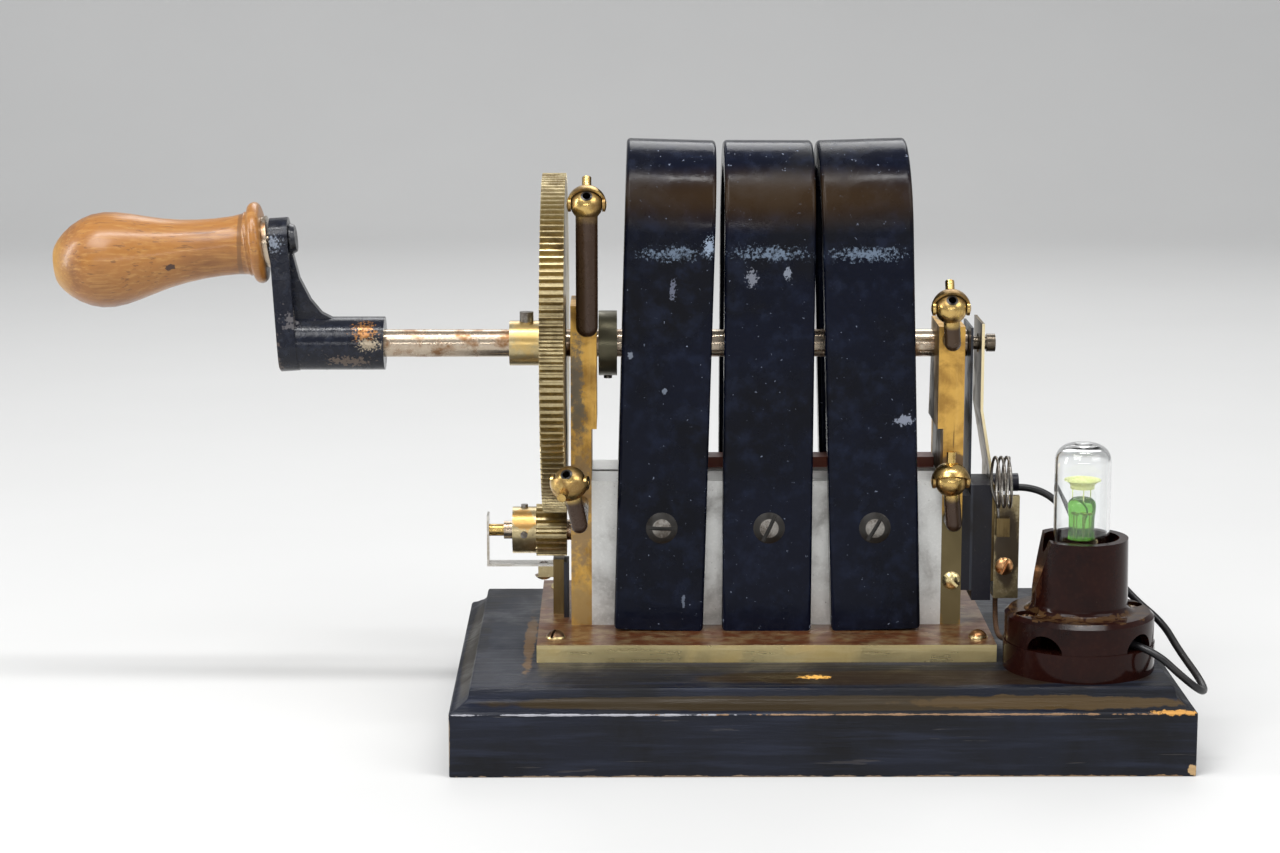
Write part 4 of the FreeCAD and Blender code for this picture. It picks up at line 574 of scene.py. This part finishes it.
class Stock:
    """The materials of the scene, one per slot of the record."""

    def __init__(self) -> None:
        """Builds every material."""
        self.made = {name: Paint.surface(name, finish) for name, finish in FINISHES.items()}
        self.made["lamp_glass"] = Paint.glass("lamp_glass", (0.96, 0.98, 0.98), 0.01)
        self.made["green_glass"] = Paint.glass("green_glass", (0.22, 0.62, 0.09), 0.03, 0.86)
        self.made["ring_yellow"] = Paint.surface("ring_yellow", Finish(
            (0.80, 0.86, 0.36), (0.66, 0.74, 0.28), (0.90, 0.94, 0.55), (0.5, 0.5, 0.2), rough=(0.25, 0.4)))

    def dress(self, record: dict) -> None:
        """Gives each CAD node its slot's material.

        Args:
            record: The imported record.
        """
        for part in record["subparts"]:
            self.give(frame["nodes"][part["node"]], part["material_slot"])

    def give(self, item: bpy.types.Object, slot: str) -> None:
        """Gives an object one material.

        Args:
            item: The object.
            slot: The record's slot.
        """
        item.data.materials.clear()
        item.data.materials.append(self.made[slot])


def finished(mesh: bmesh.types.BMesh, name: str, body: str, slot: str, stock: Stock,
             replaced: tuple[str, ...] = (), smooth: float = 40.0) -> bpy.types.Object:
    """Turns a bmesh into a piece of the scene.

    Args:
        mesh: The shape in metres, in the row frame.
        name: The piece's name.
        body: The CAD body it moves with.
        slot: The record's material slot.
        stock: The materials.
        replaced: The CAD nodes it stands for.
        smooth: The angle in degrees below which edges are shaded smooth.

    Returns:
        The new object.
    """
    bmesh.ops.recalc_face_normals(mesh, faces=mesh.faces)
    limit = math.radians(smooth)
    for face in mesh.faces:
        face.smooth = True
    for edge in mesh.edges:
        edge.smooth = len(edge.link_faces) == 2 and edge.calc_face_angle(0.0) < limit
    data = bpy.data.meshes.new(name)
    mesh.to_mesh(data)
    mesh.free()
    item = bpy.data.objects.new(name, data)
    bpy.context.scene.collection.objects.link(item)
    stock.give(item, slot)
    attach(item, body)
    if replaced:
        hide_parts(*replaced)
    return item


def lathe(mesh: bmesh.types.BMesh, profile: list[tuple[float, float]], at: Vector, axis: Vector,
          steps: int = 72) -> None:
    """Spins a profile of lengths and radii about an axis.

    Args:
        mesh: The bmesh that takes the shape.
        profile: Pairs of length along the axis and radius, in millimetres.
        at: The axis's origin in metres.
        axis: The axis's direction.
        steps: The number of faces round.
    """
    turn = Vector((0, 0, 1)).rotation_difference(axis).to_matrix().to_4x4()
    where = Matrix.Translation(at) @ turn
    older = set(mesh.verts)
    made = [mesh.verts.new((radius * MM, 0, along * MM)) for along, radius in profile]
    edges = [mesh.edges.new(pair) for pair in zip(made, made[1:])]
    bmesh.ops.spin(mesh, geom=made + edges, cent=(0, 0, 0), axis=(0, 0, 1), dvec=(0, 0, 0),
                   angle=math.tau, steps=steps, use_merge=True, use_normal_flip=False,
                   use_duplicate=False)
    bmesh.ops.remove_doubles(mesh, verts=[vert for vert in mesh.verts if vert not in older], dist=1e-7)
    bmesh.ops.transform(mesh, matrix=where, verts=[vert for vert in mesh.verts if vert not in older])


@dataclass
class Baseboard:
    """The black wooden board with its moulded edge.

    Attributes:
        stock: The materials.
        slab: The height of the upright sides in millimetres.
        edge: The width of the worn edges in millimetres.
        steps: How far each step of the moulding goes in, and its share of the height over the sides.
    """

    stock: Stock
    slab: float = 17.6
    edge: float = 0.45
    steps: tuple[tuple[float, float], ...] = (
        (0.5, 0.35), (2.4, 0.62), (2.4, 0.95), (1.6, 0.88), (0.35, 0.9), (0.25, 0.9), (0.4, 0.8))

    def build(self) -> bpy.types.Object:
        """Insets the top of a block step by step into the moulding."""
        low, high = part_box("baseboard")
        slab = self.slab * MM
        mesh = bmesh.new()
        size = high - low
        bmesh.ops.create_cube(mesh, size=1.0)
        bmesh.ops.scale(mesh, vec=(size.x, size.y, slab), verts=mesh.verts)
        bmesh.ops.translate(mesh, vec=((low.x + high.x) / 2, (low.y + high.y) / 2, slab / 2),
                            verts=mesh.verts)
        total = sum(share for _, share in self.steps)
        rise = (high.z - slab) / (total * MM)
        for inset, share in self.steps:
            top = [face for face in mesh.faces
                   if face.normal.z > 0.99 and face.calc_center_median().z > slab - HAIR]
            top = sorted(top, key=lambda face: face.calc_area())[-1:]
            bmesh.ops.inset_region(mesh, faces=top, thickness=inset * MM, depth=0.0)
            mesh.faces.ensure_lookup_table()
            bmesh.ops.translate(mesh, vec=(0, 0, share * rise * MM), verts=list(top[0].verts))
            mesh.normal_update()
        sharp = [edge for edge in mesh.edges
                 if len(edge.link_faces) == 2 and edge.calc_face_angle(0.0) > 0.9]
        bmesh.ops.bevel(mesh, geom=sharp, offset=self.edge * MM, segments=2, profile=0.5,
                        affect="EDGES", material=-1)
        return finished(mesh, "board", "frame", "baseboard_paint", self.stock, ("baseboard",), 30.0)


@dataclass
class Handle:
    """The turned wooden grip on its tilted pin.

    Attributes:
        stock: The materials.
        profile: Pairs of length along the pin and radius, in millimetres.
    """

    stock: Stock
    profile: tuple[tuple[float, float], ...] = (
        (4.65, 2.6), (4.65, 9.9), (4.9, 10.9), (5.5, 11.5), (6.4, 11.72), (7.3, 11.5), (8.0, 10.9),
        (8.35, 9.9), (8.45, 9.3), (8.9, 9.15), (9.3, 9.25), (9.6, 9.0), (10.2, 8.75), (13.0, 8.4),
        (18.0, 8.3), (23.0, 8.55), (28.0, 9.1), (33.0, 10.0), (38.0, 11.3), (42.0, 12.4), (46.0, 13.3),
        (49.5, 13.7), (53.0, 13.45), (56.0, 12.6), (59.0, 11.1), (61.5, 9.3), (63.4, 7.4), (64.5, 5.9),
        (64.85, 5.2), (64.0, 4.9), (61.0, 4.8), (60.9, 2.6))

    def build(self) -> bpy.types.Object:
        """Turns the grip."""
        joint = next(item for item in frame["joints"] if item["name"] == "grip_spin")
        mesh = bmesh.new()
        lathe(mesh, list(self.profile), Vector(joint["pos_m"]), Vector(joint["axis"]).normalized(), 96)
        return finished(mesh, "grip_wood", "grip", "handle_wood", self.stock, ("handle_grip",), 50.0)


@dataclass
class Lamp:
    """The glass lamp in the moulded holder, with its green bulb, ring electrode and wires.

    Lengths are in millimetres, and every profile has pairs of height over the floor and radius.

    Attributes:
        stock: The materials.
        radius: The outer radius of the glass.
        wall: The thickness of its wall.
        crown: The height of the dome over the straight wall.
        hollow: The height of the hollow under the dome.
        lens: How far the thick middle of the dome hangs down.
        bulb: The profile of the green bulb.
        brim: The profile of the ring electrode.
        post: The profile of one of its three posts.
        post_circle: The radius of the circle on which the posts stand.
        wire: The profile of one of the five wires in the bulb, with the bead on its end.
        wire_circle: The radius of the circle on which the wires stand.
    """

    stock: Stock
    radius: float = 7.8
    wall: float = 0.75
    crown: float = 5.2
    hollow: float = 3.9
    lens: float = 1.3
    bulb: tuple[tuple[float, float], ...] = (
        (60.0, 0.0), (60.0, 3.7), (63.0, 3.55), (66.0, 3.6), (68.0, 3.85), (69.5, 3.9), (70.7, 3.55),
        (71.4, 2.7), (71.7, 1.4), (71.75, 0.0))
    brim: tuple[tuple[float, float], ...] = (
        (76.5, 5.1), (76.35, 4.6), (75.5, 3.6), (74.9, 3.35), (74.2, 3.35), (74.2, 3.05), (75.0, 3.05),
        (75.7, 3.4), (76.55, 4.5), (76.7, 5.1), (76.5, 5.1))
    post: tuple[tuple[float, float], ...] = ((70.6, 0.0), (70.6, 0.16), (74.3, 0.16), (74.3, 0.0))
    post_circle: float = 2.9
    wire: tuple[tuple[float, float], ...] = (
        (60.2, 0.0), (60.2, 0.14), (66.8, 0.14), (67.0, 0.5), (67.5, 0.55), (67.7, 0.0))
    wire_circle: float = 1.5

    def build(self) -> None:
        """Spins the glass, the bulb, the ring and the wires about the lamp's upright."""
        low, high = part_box("lamp_glass")
        axis = Vector(((low.x + high.x) / 2, (low.y + high.y) / 2, 0))
        up = Vector((0, 0, 1))
        mesh = bmesh.new()
        lathe(mesh, self.shell(low.z / MM, high.z / MM), axis, up, 64)
        finished(mesh, "bulb_glass", "frame", "lamp_glass", self.stock, ("lamp_glass",), 50.0)
        mesh = bmesh.new()
        lathe(mesh, list(self.bulb), axis, up, 48)
        finished(mesh, "bulb_green", "frame", "green_glass", self.stock, ("lamp_inner_bulb",), 60.0)
        mesh = bmesh.new()
        lathe(mesh, list(self.brim), axis, up, 64)
        self.circle(mesh, self.post, axis, 3, self.post_circle, 0.5)
        ring = finished(mesh, "bulb_ring", "frame", "lamp_metal", self.stock, ("lamp_ring",), 50.0)
        self.stock.give(ring, "ring_yellow")
        mesh = bmesh.new()
        self.circle(mesh, self.wire, axis, 5, self.wire_circle, 0.0)
        finished(mesh, "bulb_wires", "frame", "lamp_metal", self.stock, (), 50.0)

    def shell(self, foot: float, top: float) -> list[tuple[float, float]]:
        """Returns the profile of the glass, up the outside and down the inside.

        Args:
            foot: The height of its lower rim.
            top: The height of its crown.
        """
        dome = top - self.crown
        steps = 18
        turns = [math.pi / 2 * n / steps for n in range(steps)]
        outer = [(dome + self.crown * math.sin(turn), self.radius * math.cos(turn) ** 0.62)
                 for turn in turns] + [(top, 0.0)]
        inner = self.radius - self.wall
        inside = [(dome + self.hollow * math.sin(turn), inner * math.cos(turn) ** 0.5)
                  for turn in turns] + [(dome + self.hollow - self.lens, 0.0)]
        return [(foot, inner), (foot, self.radius)] + outer + inside[::-1] + [(foot, inner)]

    @staticmethod
    def circle(mesh: bmesh.types.BMesh, profile: tuple[tuple[float, float], ...], axis: Vector,
               count: int, radius: float, start: float) -> None:
        """Stands thin turned pieces in a circle.

        Args:
            mesh: The bmesh that takes them.
            profile: The profile of one piece.
            axis: The circle's middle in metres.
            count: How many there are.
            radius: The circle's radius in millimetres.
            start: The angle of the first, in radians.
        """
        for turn in range(count):
            angle = math.tau * turn / count + start
            foot = Vector((math.cos(angle), math.sin(angle), 0)) * radius * MM
            lathe(mesh, list(profile), axis + foot, Vector((0, 0, 1)), 10)


@dataclass
class Lead:
    """A flexible lead that follows the part's own route.

    Attributes:
        name: The piece's name.
        node: The CAD node it replaces.
        slot: The record's material slot.
        diameter: Its thickness in millimetres.
        route: Its corner points in millimetres.
        stock: The materials.
        fineness: How many steps the curve takes between two points.
        facets: How round its section is.
    """

    name: str
    node: str
    slot: str
    diameter: float
    route: tuple[Point, ...]
    stock: Stock
    fineness: int = 16
    facets: int = 5

    def build(self) -> bpy.types.Object:
        """Lays the lead as one smooth curve."""
        data = bpy.data.curves.new(self.name, "CURVE")
        data.dimensions = "3D"
        spline = data.splines.new("NURBS")
        spline.points.add(len(self.route) - 1)
        for point, corner in zip(spline.points, self.route):
            point.co = (*(value * MM for value in corner), 1.0)
        spline.order_u = 3
        spline.use_endpoint_u = True
        spline.resolution_u = self.fineness
        data.bevel_depth = self.diameter * MM / 2
        data.bevel_resolution = self.facets
        data.use_fill_caps = True
        item = bpy.data.objects.new(self.name, data)
        bpy.context.scene.collection.objects.link(item)
        self.stock.give(item, self.slot)
        length = self.measure(item)
        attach(item, "frame")
        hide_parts(self.node)
        return item

    def measure(self, item: bpy.types.Object) -> float:
        """Returns the length of the curve's own line.

        Args:
            item: The curve object.
        """
        bare = item.data.copy()
        bare.bevel_depth = 0.0
        probe = bpy.data.objects.new("probe", bare)
        mesh = bpy.data.meshes.new_from_object(probe)
        points = [vert.co.copy() for vert in mesh.vertices]
        bpy.data.objects.remove(probe)
        bpy.data.meshes.remove(mesh)
        bpy.data.curves.remove(bare)
        return sum((b - a).length for a, b in zip(points, points[1:]))


@dataclass
class Studio:
    """The pale floor, the lamps and the camera. Lengths are in metres.

    Attributes:
        eye: The camera's place.
        pitch: How far it looks down, in degrees.
        yaw: How far it looks to the right, in degrees.
        focal: Its focal length in pixels of the photograph.
        pixels: The photograph's width in pixels.
        sensor: The width of the camera's sensor in millimetres.
        aim: The point that the lamps look at.
        lamps: Each lamp's name, place, size and strength in watts.
        front: Where the floor starts.
        rear: Where it starts to bend up.
        side: Its half width.
        bend: The radius of the bend.
        wall: The height of the wall over the bend.
        tones: The two greys of the floor.
        sky: The colour of the light from all round.
        glow: The strength of that light.
    """

    eye: Point = (-0.0542, -0.8501, 0.2365)
    pitch: float = 10.09
    yaw: float = 0.33
    focal: float = 3000.0
    pixels: float = 1280.0
    sensor: float = 36.0
    aim: Point = (-0.03, 0.0, 0.08)
    lamps: tuple[tuple[str, Point, tuple[float, float], float], ...] = (
        ("key", (-0.55, -0.75, 1.05), (0.7, 0.49), 8.0),
        ("fill", (0.85, -0.55, 0.75), (0.8, 0.56), 4.0),
        ("back", (0.1, 0.9, 0.9), (0.8, 0.56), 5.0),
        ("band", (-0.03, -0.30, 1.0), (1.1, 0.05), 7.0),
        ("rim", (-1.15, -0.12, 0.30), (0.14, 0.9), 6.0),
        ("strip", (-0.10, -1.50, 0.30), (1.3, 0.05), 2.6))
    front: float = -1.6
    rear: float = 1.2
    side: float = 2.5
    bend: float = 0.5
    wall: float = 2.0
    tones: tuple[Colour, Colour] = ((0.56, 0.56, 0.555), (0.60, 0.60, 0.595))
    sky: Colour = (0.93, 0.94, 0.96)
    glow: float = 0.55

    def build(self) -> None:
        """Sets up everything that isn't part of the object."""
        self.floor()
        for name, at, size, power in self.lamps:
            self.light(name, at, size, power)
        self.camera()
        scene = bpy.context.scene
        scene.view_settings.view_transform = "Standard"
        world = bpy.data.worlds.new("studio")
        scene.world = world
        world.use_nodes = True
        back = world.node_tree.nodes["Background"]
        back.inputs["Color"].default_value = (*self.sky, 1.0)
        back.inputs["Strength"].default_value = self.glow

    def floor(self) -> None:
        """Lays a plain floor that bends up into a wall."""
        mesh = bmesh.new()
        made = [mesh.verts.new((-self.side, y, 0.0)) for y in (self.front, self.rear)]
        edge = mesh.edges.new(made)
        bmesh.ops.extrude_edge_only(mesh, edges=[edge])
        moved = [vert for vert in mesh.verts if vert not in made]
        bmesh.ops.translate(mesh, vec=(2 * self.side, 0, 0), verts=moved)
        rear = [line for line in mesh.edges if all(vert.co.y > self.rear - HAIR for vert in line.verts)]
        ends = list({vert for line in rear for vert in line.verts})
        bmesh.ops.spin(mesh, geom=rear + ends, cent=(0, self.rear, self.bend), axis=(1, 0, 0),
                       dvec=(0, 0, 0), angle=math.radians(90), steps=16,
                       use_merge=False, use_normal_flip=False, use_duplicate=False)
        top = max(vert.co.z for vert in mesh.verts)
        edges = [line for line in mesh.edges if all(vert.co.z > top - HAIR for vert in line.verts)]
        grown = bmesh.ops.extrude_edge_only(mesh, edges=edges)
        raised = [part for part in grown["geom"] if isinstance(part, bmesh.types.BMVert)]
        bmesh.ops.translate(mesh, vec=(0, 0, self.wall), verts=raised)
        for face in mesh.faces:
            face.smooth = True
        bmesh.ops.recalc_face_normals(mesh, faces=mesh.faces)
        data = bpy.data.meshes.new("floor")
        mesh.to_mesh(data)
        mesh.free()
        item = bpy.data.objects.new("floor", data)
        bpy.context.scene.collection.objects.link(item)
        material = bpy.data.materials.new("floor")
        graph = Graph(material)
        shader = graph.add("BsdfPrincipled")
        tone = graph.mixed(graph.noise(graph.place(), 6.0), *self.tones)
        graph.feed(shader.inputs["Base Color"], tone)
        shader.inputs["Roughness"].default_value = 0.7
        out = graph.add("OutputMaterial")
        graph.feed(out.inputs["Surface"], shader.outputs["BSDF"])
        data.materials.append(material)

    def light(self, name: str, at: Point, size: tuple[float, float], power: float) -> None:
        """Adds one soft lamp that looks at the object.

        Args:
            name: The lamp's name.
            at: Its place in metres.
            size: Its width and height in metres.
            power: Its strength in watts.
        """
        data = bpy.data.lights.new(name, "AREA")
        data.shape = "RECTANGLE"
        data.size, data.size_y = size
        data.energy = power
        item = bpy.data.objects.new(name, data)
        item.location = at
        item.rotation_euler = (Vector(self.aim) - Vector(at)).to_track_quat("-Z", "Y").to_euler()
        bpy.context.scene.collection.objects.link(item)

    def camera(self) -> None:
        """Puts the camera where the photograph was taken from."""
        data = bpy.data.cameras.new("camera")
        data.sensor_width = self.sensor
        data.sensor_fit = "HORIZONTAL"
        data.lens = self.focal * self.sensor / self.pixels
        data.clip_start = 0.01
        data.clip_end = 20.0
        item = bpy.data.objects.new("camera", data)
        item.location = self.eye
        item.rotation_euler = (math.radians(90.0 - self.pitch), 0.0, math.radians(-self.yaw))
        bpy.context.scene.collection.objects.link(item)
        bpy.context.scene.camera = item


BOARD_TOP = 23.6
STUD = (60.0, 1.0, 67.1)
HOLDER = (73.0, -36.0)
FLANGE_X = 53.4
CABLE_DIAMETER = 2.1
WIRE_DIAMETER = 1.5
# The black cable runs off the stud, then bends at these places from the holder's middle and the board's top.
CABLE_ROUTE = (STUD, (STUD[0] + 9.0, STUD[1], STUD[2])) + tuple(
    (HOLDER[0] + right, HOLDER[1] + back, BOARD_TOP + high) for right, back, high in (
        (5.5, 30.0, 29.5), (18.0, 22.0, 14.7), (26.2, 15.0, 8.6), (29.0, 4.5, 3.2), (33.6, -5.5, -3.0),
        (33.0, -15.5, -4.2), (26.5, -19.5, 1.0), (17.6, -15.6, 8.9), (8.9, -8.9, 9.9)))
# The brown wire bends at these places from the terminal's flange, the middle plane and the board's top.
WIRE_ROUTE = ((FLANGE_X, -5.0, 36.3),) + tuple(
    (FLANGE_X + right, back, BOARD_TOP + high) for right, back, high in (
        (0.0, -5.0, 6.2), (0.2, -9.5, 2.6), (0.5, -18.0, 3.2), (2.2, -28.2, 5.0)))


def main() -> None:
    """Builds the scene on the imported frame."""
    logging.basicConfig(level=logging.INFO)
    stock = Stock()
    stock.dress(frame["record"])
    Baseboard(stock).build()
    Handle(stock).build()
    Lamp(stock).build()
    Lead("cable_black", "lead_black", "cable_rubber", CABLE_DIAMETER, CABLE_ROUTE, stock).build()
    Lead("wire_brown", "lead_brown", "wire_cotton", WIRE_DIAMETER, WIRE_ROUTE, stock).build()
    Studio().build()


if __name__ == "__main__":
    main()
